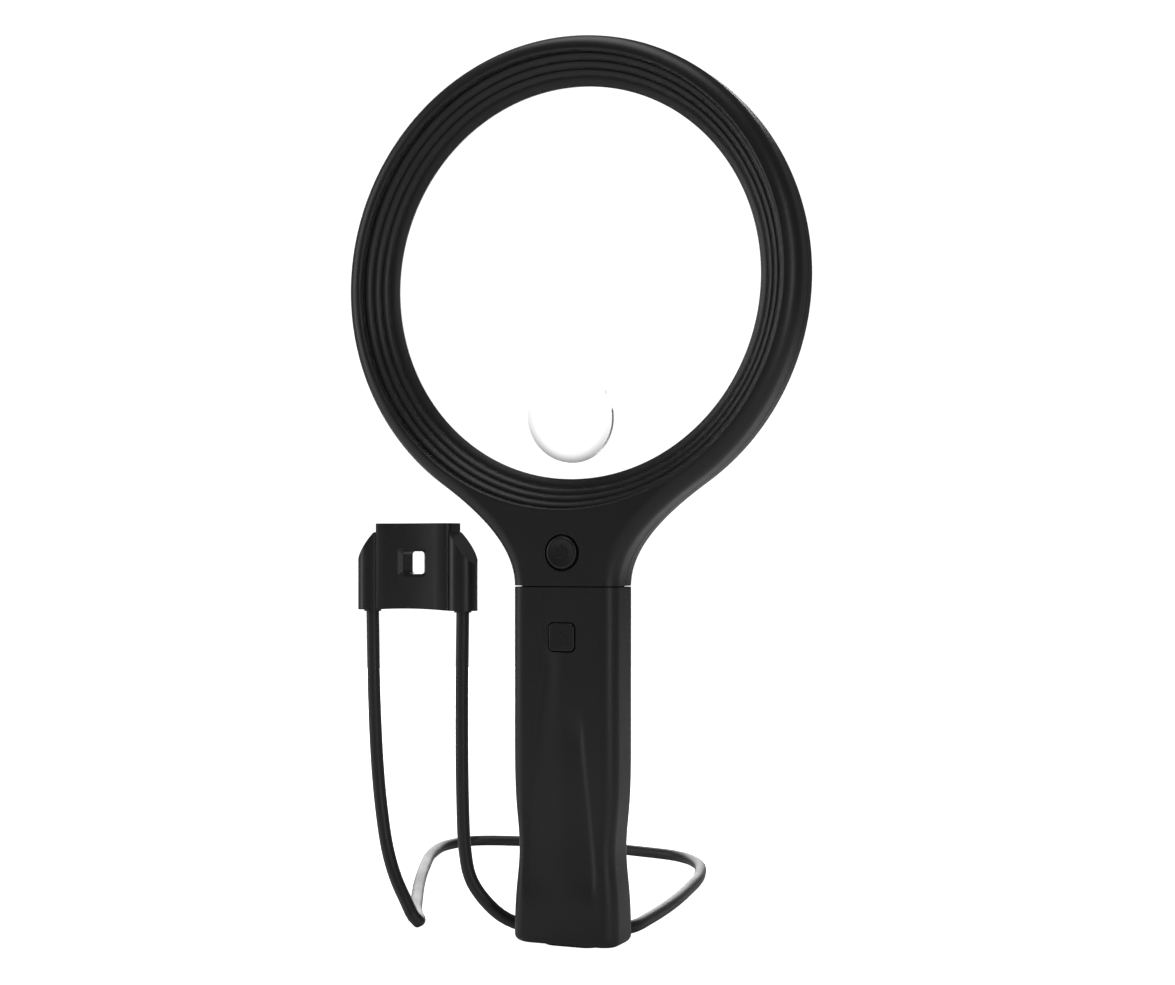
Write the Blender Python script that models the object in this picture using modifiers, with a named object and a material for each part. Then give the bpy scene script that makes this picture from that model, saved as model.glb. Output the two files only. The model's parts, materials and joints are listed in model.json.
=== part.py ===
"""Lighted reading magnifier on a battery handle, with its bendable wire stand.

Metres, +Z up.  The origin is on the floor, at the middle of the flat handle base.  The face with
the buttons looks towards -Y, and the lens axis runs along Y.  The stand waits to the left of the
handle, and its floor loop passes behind the handle's foot.
"""

import math

import bmesh
import bpy
from mathutils import Matrix, Vector

MM = 0.001
GAP = 0.3 * MM              # between touching pieces

# Handle
SEAM_Z = 118.9 * MM         # joint between the neck and the sleeve
HALF_W = 18.6 * MM          # half the width of the handle
FRONT_Y = -10.4 * MM        # flat front of the shells and the sleeve
BACK_Y = 9.6 * MM
FRONT_ROUND = 5.0 * MM
BACK_ROUND = 6.0 * MM
SLEEVE_WALL = 2.0 * MM
FOOT_RISE = 1.1 * MM        # the sleeve's bottom stands this high on its foot
FOOT_SIZE = (20.0 * MM, 10.5 * MM)
BASE_T = 2.5 * MM
BASE_ROUND = 2.6 * MM
WAIST_Z = 31.8 * MM
WAIST_DEPTH = 1.55 * MM
WAIST_LENGTH = 13.5 * MM
SCOOP_DEPTH = 0.8 * MM      # hollow in the front of the grip
SCOOP_LENGTH = 17.0 * MM

# Lens ring
RING_R = 80.6 * MM          # outer radius of the ring
RING_Z = SEAM_Z + 19.9 * MM + RING_R      # height of the lens axis
RIM_R = RING_R - 5.8 * MM   # top of the grooved funnel
APERTURE_R = RIM_R - 9.8 * MM             # clear radius in front of the lens
LIP_Y = -0.3 * MM           # front edge of the lip that holds the lens
WALL = 2.0 * MM
GROOVES = 4
GROOVE_DEPTH = 0.55 * MM
LENS_R = APERTURE_R + 3.5 * MM
LENS_EDGE = 2.75 * MM       # thickness of the lens flange
FRONT_SAG = 6.2 * MM
BACK_SAG = 3.4 * MM
INSERT_R = 15.2 * MM        # strong round insert
INSERT_DROP = APERTURE_R - 20.6 * MM      # how far it lies under the lens centre
INSERT_RISE = 1.3 * MM
COLLAR_R_IN = LENS_R + 0.35 * MM          # collar round the lens flange
COLLAR_BACK_Y = 3.0 * MM
BOARD_IN_R = LENS_R + 1.7 * MM
BOARD_OUT_R = RING_R - 4.6 * MM
BOARD_T = 1.0 * MM
WINDOW_R = LENS_R + 3.9 * MM              # opening for the light ring in the rear shell
LED_COUNT = 12
LED_SIZE = (3.5 * MM, 2.8 * MM, 1.2 * MM)
FLARE_END = math.radians(-55.5)           # where the neck's flare meets the ring
FLARE_PULL = 15.5 * MM      # handle of the flare's curve where it meets the ring
NECK_PULL = 13.5 * MM       # and where it leaves the neck

# Buttons
POWER_Z = SEAM_Z + 11.1 * MM
POWER_R = 5.4 * MM
POWER_TRAVEL = 0.6 * MM
BUTTON_CLEAR = 0.6 * MM
RELEASE_Z = SEAM_Z - 16.6 * MM
RELEASE_SIZE = 9.1 * MM
RELEASE_CLEAR = 0.4 * MM
RELEASE_TRAVEL = 0.9 * MM
BUTTON_PROUD = 0.4 * MM
FLANGE_T = 0.8 * MM
FLANGE_OVER = 0.8 * MM      # how far a flange reaches past its hole
SWITCH_BOARD_Y = -3.0 * MM

# Batteries
CELL_R = 5.25 * MM
CELL_L = 44.5 * MM
CELL_PITCH = 2 * CELL_R + GAP
CELL_Y = 0.8 * MM
PLUG_BOTTOM = SEAM_Z - 8.9 * MM
PLUG_TOP = SEAM_Z + 5.9 * MM
CELLS_Z = PLUG_BOTTOM - CELL_L - 3.0 * MM # lower end of the cells
CARRIER_GAP = 0.4 * MM      # between the carrier and the sleeve
CARRIER_END = CELLS_Z - 10.0 * MM   # the carrier's lower end
BAY_STEP = 1.5 * MM         # the narrower bay ends this far below the carrier
LEAD_R = 0.55 * MM
LEAD_X = 2.4 * MM

# Hook on the back of the neck, for the stand's slot
HOOK_Z = SEAM_Z + 14.1 * MM
HOOK_T = 2.6 * MM
HOOK_CLEAR = 0.8 * MM

# Shell screws
SCREW_R = 1.15 * MM
HEAD_R = 2.2 * MM
HEAD_T = 1.5 * MM
BOSS_R = 2.8 * MM
SCREWS = ((HALF_W - 7.6 * MM, SEAM_Z + 3.3 * MM), (24.5 * MM, SEAM_Z + 23.5 * MM))

# Stand
STAND_AT = (-61.5 * MM, 6.0 * MM)
STAND_TURN = math.radians(-5.4)
WIRE_R = 2.25 * MM
LEG_U = 18.5 * MM           # half the distance between the two legs
LOBE_R = WIRE_R + 2.85 * MM
BRACKET_H = 30.0 * MM
BRACKET_LOW = SEAM_Z - 8.9 * MM           # it stands beside the seam, clear of the ring
BRACKET_Z = (BRACKET_LOW, BRACKET_LOW + BRACKET_H)
BRACKET_HALF = LEG_U - 3.1 * MM
BRACKET_V = (-4.4 * MM, 4.0 * MM)
BRACKET_ROUND = 2.2 * MM
BRACKET_DISH = 1.1 * MM
BRACKET_ARCH = 0.5 * MM
SHOULDER = (BRACKET_LOW + 16.0 * MM, BRACKET_LOW + 27.0 * MM)    # outer and inner end
SLOT_SIZE = (8.8 * MM, 7.8 * MM)
SLOT_Z = BRACKET_LOW + 16.4 * MM
SLOT_CHAMFER = 1.1 * MM
WIRE_BORE_R = WIRE_R - 0.85 * MM
CORE_R = WIRE_BORE_R - GAP
FERRULE_R = WIRE_R - 0.05 * MM
SHEATH_END_Z = BRACKET_Z[0] + 4.0 * MM
FERRULE_Z = (SHEATH_END_Z + 0.6 * MM, SHEATH_END_Z + 9.0 * MM)
COLLAR_R = WIRE_R + 0.75 * MM
COLLAR_T = 1.2 * MM
FLOOR_Z = WIRE_R + 0.1 * MM


def clear_scene():
    for obj in list(bpy.data.objects):
        bpy.data.objects.remove(obj, do_unlink=True)


def new_collection(name):
    coll = bpy.data.collections.new(name)
    bpy.context.scene.collection.children.link(coll)
    return coll


def material(name, rgb, rough, metal=0.0, alpha=1.0, glass=0.0):
    mat = bpy.data.materials.new(name)
    mat.use_nodes = True
    bsdf = mat.node_tree.nodes["Principled BSDF"]
    bsdf.inputs["Base Color"].default_value = (*rgb, 1.0)
    bsdf.inputs["Roughness"].default_value = rough
    bsdf.inputs["Metallic"].default_value = metal
    bsdf.inputs["Alpha"].default_value = alpha
    bsdf.inputs["Transmission Weight"].default_value = glass
    mat.diffuse_color = (*rgb, alpha)
    return mat


def link(obj, coll, mat=None, parent=None):
    coll.objects.link(obj)
    if mat is not None:
        obj.data.materials.clear()
        obj.data.materials.append(mat)
    if parent is not None:
        obj.parent = parent
    return obj


def guide(obj):
    """Hide a cutter from the build."""
    obj.hide_render = True
    obj.display_type = "WIRE"
    return obj


def smooth(obj, angle=35.0):
    obj.data.shade_smooth()
    obj.data.set_sharp_from_angle(angle=math.radians(angle))


def box(name, lo, hi, coll, mat=None, parent=None, turn=None):
    """A box between two corners, optionally turned by a matrix about its middle."""
    bm = bmesh.new()
    bmesh.ops.create_cube(bm, size=1.0)
    size = [b - a for a, b in zip(lo, hi)]
    mid = Vector([(a + b) / 2 for a, b in zip(lo, hi)])
    bmesh.ops.scale(bm, vec=size, verts=bm.verts)
    mesh = bpy.data.meshes.new(name)
    bm.to_mesh(mesh)
    bm.free()
    obj = bpy.data.objects.new(name, mesh)
    obj.location = mid
    if turn is not None:
        obj.rotation_euler = turn
    return link(obj, coll, mat, parent)


def cylinder(name, radius, lo, hi, coll, mat=None, parent=None, axis="Y", at=(0, 0), sides=24):
    """A cylinder along an axis, from lo to hi, its axis at the two other coordinates."""
    bm = bmesh.new()
    bmesh.ops.create_cone(bm, cap_ends=True, segments=sides, radius1=radius, radius2=radius,
                          depth=hi - lo)
    mesh = bpy.data.meshes.new(name)
    bm.to_mesh(mesh)
    bm.free()
    obj = bpy.data.objects.new(name, mesh)
    smooth(obj)
    mid = (lo + hi) / 2
    if axis == "Y":
        obj.rotation_euler = (math.pi / 2, 0, 0)
        obj.location = (at[0], mid, at[1])
    else:
        obj.location = (at[0], at[1], mid)
    return link(obj, coll, mat, parent)


def turned(name, profile, coll, mat=None, parent=None, at=(0, 0, 0), axis="Y", steps=64,
           closed=True):
    """A turned solid.  The profile is (radius, height) pairs down the outer side; on axis Y the
    height counts towards the front."""
    bm = bmesh.new()
    verts = [bm.verts.new((r, 0, h)) for r, h in profile]
    for a, b in zip(verts, verts[1:]):
        bm.edges.new((a, b))
    if closed:
        bm.edges.new((verts[-1], verts[0]))
    mesh = bpy.data.meshes.new(name)
    bm.to_mesh(mesh)
    bm.free()
    obj = bpy.data.objects.new(name, mesh)
    obj.location = at
    if axis == "Y":
        obj.rotation_euler = (math.pi / 2, 0, 0)
    screw = obj.modifiers.new("turn", "SCREW")
    screw.axis = "Z"
    screw.steps = steps
    screw.render_steps = steps
    screw.use_merge_vertices = True
    screw.merge_threshold = 0.00001
    screw.use_smooth_shade = True
    return link(obj, coll, mat, parent)


def outline_mesh(name, points, lo, hi, coll, axis="Y", resolution=8, at=(0, 0)):
    """A closed Bezier outline, filled and extruded from lo to hi, as a mesh object.

    points are (co, handle_in, handle_out); a corner has its handles on itself."""
    curve = bpy.data.curves.new(name, "CURVE")
    curve.dimensions = "2D"
    curve.fill_mode = "BOTH"
    curve.extrude = (hi - lo) / 2
    curve.resolution_u = resolution
    spline = curve.splines.new("BEZIER")
    spline.bezier_points.add(len(points) - 1)
    spline.use_cyclic_u = True
    for bez, (co, left, right) in zip(spline.bezier_points, points):
        bez.handle_left_type = bez.handle_right_type = "FREE"
        bez.co = (*co, 0)
        bez.handle_left = (*left, 0)
        bez.handle_right = (*right, 0)
    source = bpy.data.objects.new(name + "_curve", curve)
    bpy.context.scene.collection.objects.link(source)
    graph = bpy.context.evaluated_depsgraph_get()
    mesh = bpy.data.meshes.new_from_object(source.evaluated_get(graph))
    bpy.data.objects.remove(source, do_unlink=True)
    bm = bmesh.new()
    bm.from_mesh(mesh)
    bmesh.ops.remove_doubles(bm, verts=bm.verts, dist=0.00001)
    # one flat face at each end and along each straight side, for the bevel and the cuts
    bmesh.ops.dissolve_limit(bm, angle_limit=math.radians(0.3), verts=bm.verts, edges=bm.edges)
    turn = Matrix.Rotation(math.pi / 2, 4, "X") if axis == "Y" else Matrix.Identity(4)
    mid = (lo + hi) / 2
    shift = (at[0], mid, at[1]) if axis == "Y" else (at[0], at[1], mid)
    bmesh.ops.transform(bm, matrix=Matrix.Translation(shift) @ turn, verts=bm.verts)
    bmesh.ops.recalc_face_normals(bm, faces=bm.faces)
    bm.to_mesh(mesh)
    bm.free()
    mesh.name = name
    obj = bpy.data.objects.new(name, mesh)
    coll.objects.link(obj)
    return obj


def bevel(obj, width, segments=3, angle=40.0):
    mod = obj.modifiers.new("round", "BEVEL")
    mod.width = width
    mod.segments = segments
    mod.limit_method = "ANGLE"
    mod.angle_limit = math.radians(angle)
    return obj


def boolean(obj, other, how="DIFFERENCE"):
    """Apply the other shape to this object."""
    mod = obj.modifiers.new("cut" if how == "DIFFERENCE" else "join", "BOOLEAN")
    mod.operation = how
    mod.object = guide(other)
    mod.solver = "EXACT"
    return obj


def corner(x, y):
    return ((x, y), (x, y), (x, y))


def head_outline(inset, bottom):
    """Neck and ring seen from the front, drawn inwards by inset, down to bottom."""
    radius = RING_R - inset
    half = HALF_W - inset
    reach = 4.0 / 3.0

    def on_ring(angle, span_in, span_out):
        co = Vector((radius * math.cos(angle), RING_Z + radius * math.sin(angle)))
        along = Vector((-math.sin(angle), math.cos(angle)))
        left = co - along * radius * reach * math.tan(span_in / 4)
        right = co + along * radius * reach * math.tan(span_out / 4)
        return co, left, right

    quarter = math.pi / 2
    first = -FLARE_END
    co, _, right = on_ring(FLARE_END, 0, first)
    along = Vector((-math.sin(FLARE_END), math.cos(FLARE_END)))
    flare = co - along * FLARE_PULL
    start = Vector((half, SEAM_Z))
    east = on_ring(0, first, quarter)
    north = on_ring(quarter, quarter, quarter)
    west = on_ring(math.pi, quarter, first)
    mirror = lambda v: (-v[0], v[1])
    return [
        corner(half, bottom),
        (start, start, (half, SEAM_Z + NECK_PULL)),
        (co, flare, right),
        east, north, west,
        (mirror(co), mirror(right), mirror(flare)),
        (mirror(start), (-half, SEAM_Z + NECK_PULL), mirror(start)),
        corner(-half, bottom),
    ]


def section_outline(inset, half=HALF_W, front=FRONT_Y, back=BACK_Y):
    """Handle section seen from above: small front corners, large back corners."""
    k = 0.5523
    x, y0, y1 = half - inset, front + inset, back - inset
    rf = max(FRONT_ROUND - inset, 1.0 * MM)
    rb = max(BACK_ROUND - inset, 1.0 * MM)
    pts = []
    for sx, y, r, order in ((1, y0, rf, 0), (1, y1, rb, 1), (-1, y1, rb, 0), (-1, y0, rf, 1)):
        sy = 1 if y == y0 else -1
        on_end = ((sx * (x - r), y), (sx * (x - r * (1 - k)), y))
        on_side = ((sx * x, y + sy * r), (sx * x, y + sy * r * (1 - k)))
        if order == 0:
            pts.append((on_end[0], on_end[0], on_end[1]))
            pts.append((on_side[0], on_side[1], on_side[0]))
        else:
            pts.append((on_side[0], on_side[0], on_side[1]))
            pts.append((on_end[0], on_end[1], on_end[0]))
    return pts


def rounded_square(half_w, half_h, radius):
    k = 0.5523
    pts = []
    for sx, sy, side_first in ((1, -1, 0), (1, 1, 1), (-1, 1, 0), (-1, -1, 1)):
        x, y = sx * half_w, sy * half_h
        a = (x - sx * radius, y)
        ah = (x - sx * radius * (1 - k), y)
        b = (x, y - sy * radius)
        bh = (x, y - sy * radius * (1 - k))
        if side_first:
            pts += [(b, b, bh), (a, ah, a)]
        else:
            pts += [(a, a, ah), (b, bh, b)]
    return pts


def funnel_profile():
    """Section of the grooved funnel with its lip, the lens collar and the board's ledge."""
    lip = -LIP_Y
    rise = -(FRONT_Y) - 2.8 * MM - lip
    run = RIM_R - APERTURE_R
    lens_front = lip - 0.65 * MM
    pts = [
        (RIM_R + 0.9 * MM, -FRONT_Y - 0.05 * MM),
        (RIM_R + 2.7 * MM, -FRONT_Y - 0.55 * MM),
        (RIM_R + 2.7 * MM, -FRONT_Y - 3.8 * MM),
        (RIM_R + 1.5 * MM, -FRONT_Y - 4.6 * MM),
        (LENS_R + 2.9 * MM, 1.6 * MM),
        (LENS_R + 2.9 * MM, -0.7 * MM),
        (COLLAR_R_IN + MM, -0.7 * MM),
        (COLLAR_R_IN + MM, -COLLAR_BACK_Y),
        (COLLAR_R_IN, -COLLAR_BACK_Y),
        (COLLAR_R_IN, lens_front),
        (APERTURE_R, lens_front),
        (APERTURE_R, lip),
    ]
    for i in range(1, GROOVES + 1):
        t = (i - 0.45) / GROOVES
        r, h = APERTURE_R + run * t, lip + rise * t
        pts += [(r - 0.4 * MM, h - 0.4 * MM * rise / run),
                (r + 0.15 * MM, h - GROOVE_DEPTH),
                (r + 0.5 * MM, h + 0.5 * MM * rise / run)]
    pts += [(RIM_R, lip + rise), (RIM_R + 0.25 * MM, -FRONT_Y - 0.9 * MM)]
    return pts


def screw_places():
    return [(s * x, z) for x, z in SCREWS for s in (1, -1)]


def make_head(parts, cutters, mats, empty):
    low = SEAM_Z - 20 * MM
    half_space = 60 * MM
    wide = 120 * MM
    seam = SEAM_Z + GAP / 2

    def bottom_cut(tag):
        return box("below_seam_" + tag, (-wide, -half_space, low - 20 * MM),
                   (wide, half_space, seam), cutters)

    # Front shell
    front = outline_mesh("front_shell", head_outline(0, low), FRONT_Y, -FRONT_Y, parts)
    bevel(front, FRONT_ROUND, 4)
    boolean(front, box("behind_parting", (-wide, -GAP / 2, 0), (wide, half_space, 0.4), cutters))
    cavity = outline_mesh("front_cavity", head_outline(WALL, low - 5 * MM), FRONT_Y + WALL,
                          -FRONT_Y + 5 * MM, cutters)
    bevel(cavity, FRONT_ROUND - WALL, 2)
    boolean(front, cavity)
    boolean(front, cylinder("front_opening", RIM_R + 2.2 * MM, FRONT_Y - 5 * MM, 20 * MM, cutters,
                            at=(0, RING_Z), sides=72))
    boolean(front, turned("funnel", funnel_profile(), cutters, at=(0, 0, RING_Z), steps=72),
            "UNION")
    boolean(front, cylinder("power_hole", POWER_R + BUTTON_CLEAR, FRONT_Y - 5 * MM, FRONT_Y + 4 * MM,
                            cutters, at=(0, POWER_Z), sides=36))
    for i, (x, z) in enumerate(screw_places()):
        boss = cylinder(f"front_boss_{i}", BOSS_R, FRONT_Y + WALL - 0.5 * MM, -GAP, cutters,
                        at=(x, z), sides=16)
        boolean(front, boss, "UNION")
    for i, (x, z) in enumerate(screw_places()):
        hole = cylinder(f"pilot_{i}", SCREW_R + GAP, FRONT_Y + WALL + 1.5 * MM, 5 * MM, cutters,
                        at=(x, z), sides=12)
        boolean(front, hole)
    for s in (1, -1):
        post = cylinder(f"board_post_{s}", 1.5 * MM, FRONT_Y + WALL - 0.5 * MM,
                        SWITCH_BOARD_Y - GAP, cutters,
                        at=(s * 9.0 * MM, POWER_Z + 1.0 * MM), sides=12)
        boolean(front, post, "UNION")
    boolean(front, bottom_cut("front"))
    link_done(front, mats["shell"], empty)

    # Rear shell
    rear = outline_mesh("rear_shell", head_outline(0, low), -12 * MM, BACK_Y, parts)
    bevel(rear, BACK_ROUND, 5)
    boolean(rear, box("before_parting", (-wide, -half_space, 0), (wide, GAP / 2, 0.4), cutters))
    hollow = outline_mesh("rear_cavity", head_outline(WALL, low - 5 * MM), -14 * MM,
                          BACK_Y - WALL, cutters)
    bevel(hollow, BACK_ROUND - WALL, 3)
    boolean(rear, hollow)
    boolean(rear, cylinder("window", WINDOW_R, -20 * MM, 20 * MM, cutters, at=(0, RING_Z),
                           sides=72))
    for i, (x, z) in enumerate(screw_places()):
        boss = cylinder(f"rear_boss_{i}", BOSS_R + 0.5 * MM, GAP, BACK_Y - WALL + 0.5 * MM,
                        cutters, at=(x, z), sides=16)
        boolean(rear, boss, "UNION")
    boolean(rear, bottom_cut("rear"))
    for i, (x, z) in enumerate(screw_places()):
        boolean(rear, cylinder(f"bore_{i}", SCREW_R + GAP, -5 * MM, 20 * MM, cutters,
                               at=(x, z), sides=12))
        boolean(rear, cylinder(f"counterbore_{i}", HEAD_R + GAP, 2.0 * MM, 20 * MM, cutters,
                               at=(x, z), sides=16))
    # hook that the stand's slot drops over
    reach = BACK_Y + BRACKET_V[1] - BRACKET_V[0] + HOOK_CLEAR
    half = SLOT_SIZE[0] / 2 - HOOK_CLEAR
    tall = SLOT_SIZE[1] - HOOK_CLEAR - HOOK_T
    stem = box("hook_stem", (-half, BACK_Y - 1.5 * MM, HOOK_Z - HOOK_T),
               (half, reach + HOOK_T - 0.8 * MM, HOOK_Z), cutters)
    tip = box("hook_tip", (-half, reach, HOOK_Z - HOOK_T),
              (half, reach + HOOK_T, HOOK_Z + tall), cutters)
    bevel(tip, 0.6 * MM, 2)
    boolean(rear, stem, "UNION")
    boolean(rear, tip, "UNION")
    link_done(rear, mats["shell"], empty)

    # Screws, heads to the back
    profile = [(0, 6.5 * MM), (SCREW_R, 6.5 * MM), (SCREW_R, -2.3 * MM), (HEAD_R, -2.3 * MM),
               (HEAD_R, -2.3 * MM - HEAD_T), (0, -2.3 * MM - HEAD_T)]
    for i, (x, z) in enumerate(screw_places()):
        turned(f"shell_screw_{i + 1}", profile, parts, mats["steel"], empty, at=(x, 0, z),
               steps=16, closed=False)


def link_done(obj, mat, parent):
    obj.data.materials.clear()
    obj.data.materials.append(mat)
    obj.parent = parent
    smooth(obj)


def make_optics(parts, cutters, mats, empty):
    front_y = LIP_Y + 0.65 * MM + GAP
    back_y = front_y + LENS_EDGE
    dome_r = APERTURE_R - 0.3 * MM
    back_r = LENS_R - 1.3 * MM

    def dome(radius, sag, count):
        big = (radius ** 2 + sag ** 2) / (2 * sag)
        for i in range(count + 1):
            r = radius * i / count
            yield r, math.sqrt(big ** 2 - r ** 2) - (big - sag)

    front = [(r, -front_y + h) for r, h in dome(dome_r, FRONT_SAG, 7)]
    back = [(r, -back_y - h) for r, h in dome(back_r, BACK_SAG, 5)]
    profile = front + [(LENS_R, -front_y), (LENS_R, -back_y)] + back[::-1]
    lens = turned("main_lens", profile, parts, mats["glass"], empty, at=(0, 0, RING_Z), steps=64,
                  closed=False)
    big = (dome_r ** 2 + FRONT_SAG ** 2) / (2 * FRONT_SAG)
    tilt = math.asin(INSERT_DROP / big)
    small = [(0, INSERT_RISE + 1.2 * MM)]
    for i in range(1, 5):
        r = INSERT_R * i / 4
        small.append((r, INSERT_RISE + 1.2 * MM * (1 - (i / 4) ** 2)))
    small += [(INSERT_R, -0.8 * MM), (0, -0.8 * MM)]
    depth = math.sqrt(big ** 2 - INSERT_DROP ** 2) - (big - FRONT_SAG)
    bump = turned("insert_bump", small, cutters, at=(0, front_y - depth, RING_Z - INSERT_DROP),
                  steps=36, closed=False)
    bump.rotation_euler = (math.pi / 2 + tilt, 0, 0)
    boolean(lens, bump, "UNION")

    lens_back = back_y + GAP
    guide_back = BACK_Y - 0.1 * MM
    turned("light_diffuser", [
        (LENS_R - 1.1 * MM, -lens_back), (WINDOW_R + 1.0 * MM, -lens_back),
        (WINDOW_R + 1.0 * MM, -lens_back - 0.9 * MM),
        (WINDOW_R - GAP, -lens_back - 1.0 * MM), (WINDOW_R - GAP, -guide_back + 0.3 * MM),
        (WINDOW_R - 0.8 * MM, -guide_back), (LENS_R + 0.4 * MM, -guide_back),
        (LENS_R - 1.1 * MM, -lens_back - 1.2 * MM)],
        parts, mats["diffuser"], empty, at=(0, 0, RING_Z), steps=64)

    board_y = 0.7 * MM + GAP
    turned("led_board", [
        (BOARD_IN_R, -board_y), (BOARD_OUT_R, -board_y), (BOARD_OUT_R, -board_y - BOARD_T),
        (BOARD_IN_R, -board_y - BOARD_T)], parts, mats["board"], empty, at=(0, 0, RING_Z),
        steps=64)
    led_y = board_y + BOARD_T + GAP
    radius = (BOARD_IN_R + BOARD_OUT_R) / 2 - 0.4 * MM
    for i in range(LED_COUNT):
        angle = math.tau * (i + 0.5) / LED_COUNT
        at = (radius * math.cos(angle), led_y + LED_SIZE[2] / 2,
              RING_Z + radius * math.sin(angle))
        half = [LED_SIZE[0] / 2, LED_SIZE[2] / 2, LED_SIZE[1] / 2]
        led = box(f"led_{i + 1:02d}", [-h for h in half], half, parts, mats["led"], empty)
        led.location = at
        led.rotation_euler = (0, -angle + math.pi / 2, 0)


def make_power_switch(parts, cutters, mats, head, button):
    inner = FRONT_Y + WALL + GAP
    hole = POWER_R + BUTTON_CLEAR
    face = -FRONT_Y + BUTTON_PROUD
    turned("power_button_cap", [
        (0, face + 0.2 * MM), (POWER_R - 0.9 * MM, face + 0.1 * MM),
        (POWER_R - 0.2 * MM, face - 0.2 * MM),
        (POWER_R, face - 0.8 * MM), (POWER_R, -inner), (hole + FLANGE_OVER, -inner),
        (hole + FLANGE_OVER, -inner - FLANGE_T), (1.8 * MM, -inner - FLANGE_T),
        (1.8 * MM, -inner - FLANGE_T - 0.35 * MM), (0, -inner - FLANGE_T - 0.35 * MM)],
        parts, mats["button"], button, at=(0, 0, POWER_Z), steps=36, closed=False)
    stem_y = inner + FLANGE_T + 0.35 * MM + GAP
    cylinder("switch_plunger", 1.5 * MM, stem_y, stem_y + 0.9 * MM, parts, mats["steel"], button,
             at=(0, POWER_Z), sides=16)
    body_front = stem_y + 0.3 * MM
    board_front = SWITCH_BOARD_Y
    body = box("switch_body", (-3.1 * MM, body_front, POWER_Z - 3.1 * MM),
               (3.1 * MM, board_front - GAP, POWER_Z + 3.1 * MM), parts, mats["shell"], head)
    boolean(body, cylinder("plunger_hole", 1.5 * MM + GAP, body_front - 2 * MM,
                           stem_y + 0.9 * MM + POWER_TRAVEL + GAP, cutters, at=(0, POWER_Z),
                           sides=16))
    box("switch_board", (-12.0 * MM, board_front, POWER_Z - 4.6 * MM),
        (12.0 * MM, board_front + BOARD_T, POWER_Z + 7.0 * MM), parts, mats["board"], head)


def tube(name, points, radius, coll, mat, parent, sides=2, caps=True):
    """A round wire along the points."""
    curve = bpy.data.curves.new(name, "CURVE")
    curve.dimensions = "3D"
    curve.bevel_depth = radius
    curve.bevel_resolution = sides
    curve.use_fill_caps = caps
    spline = curve.splines.new("POLY")
    spline.points.add(len(points) - 1)
    for p, q in zip(spline.points, points):
        p.co = (*q, 1)
    obj = bpy.data.objects.new(name, curve)
    return link(obj, coll, mat, parent)


def meshed(obj, coll, name):
    """The curve object's shape as a mesh object, with its caps welded."""
    graph = bpy.context.evaluated_depsgraph_get()
    mesh = bpy.data.meshes.new_from_object(obj.evaluated_get(graph))
    bm = bmesh.new()
    bm.from_mesh(mesh)
    bmesh.ops.remove_doubles(bm, verts=bm.verts, dist=0.00001)
    bm.to_mesh(mesh)
    bm.free()
    new = bpy.data.objects.new(name, mesh)
    new.matrix_world = obj.matrix_world
    coll.objects.link(new)
    bpy.data.objects.remove(obj, do_unlink=True)
    return new


def spline_through(route, spacing):
    """Points of a smooth curve through the route's points."""
    pts = [Vector(p) for p in route]
    pts = [pts[0] * 2 - pts[1]] + pts + [pts[-1] * 2 - pts[-2]]
    out = []
    for p0, p1, p2, p3 in zip(pts, pts[1:], pts[2:], pts[3:]):
        d0, d1, d2 = ((b - a).length ** 0.5 for a, b in ((p0, p1), (p1, p2), (p2, p3)))
        m1 = (p1 - p0) / d0 - (p2 - p0) / (d0 + d1) + (p2 - p1) / d1
        m2 = (p2 - p1) / d1 - (p3 - p1) / (d1 + d2) + (p3 - p2) / d2
        m1, m2 = m1 * d1, m2 * d1
        count = max(1, round((p2 - p1).length / spacing))
        for i in range(count):
            t = i / count
            out.append(p1 * (2 * t ** 3 - 3 * t ** 2 + 1) + m1 * (t ** 3 - 2 * t ** 2 + t)
                       + p2 * (3 * t ** 2 - 2 * t ** 3) + m2 * (t ** 3 - t ** 2))
    out.append(pts[-2])
    return out


def coil(radius, turns, start, end, per_turn=10, taper=0.0):
    count = int(turns * per_turn)
    for i in range(count + 1):
        t = i / count
        angle = math.tau * turns * t
        r = radius * (1 - taper * t)
        yield r * math.cos(angle), r * math.sin(angle), start + (end - start) * t


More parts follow.
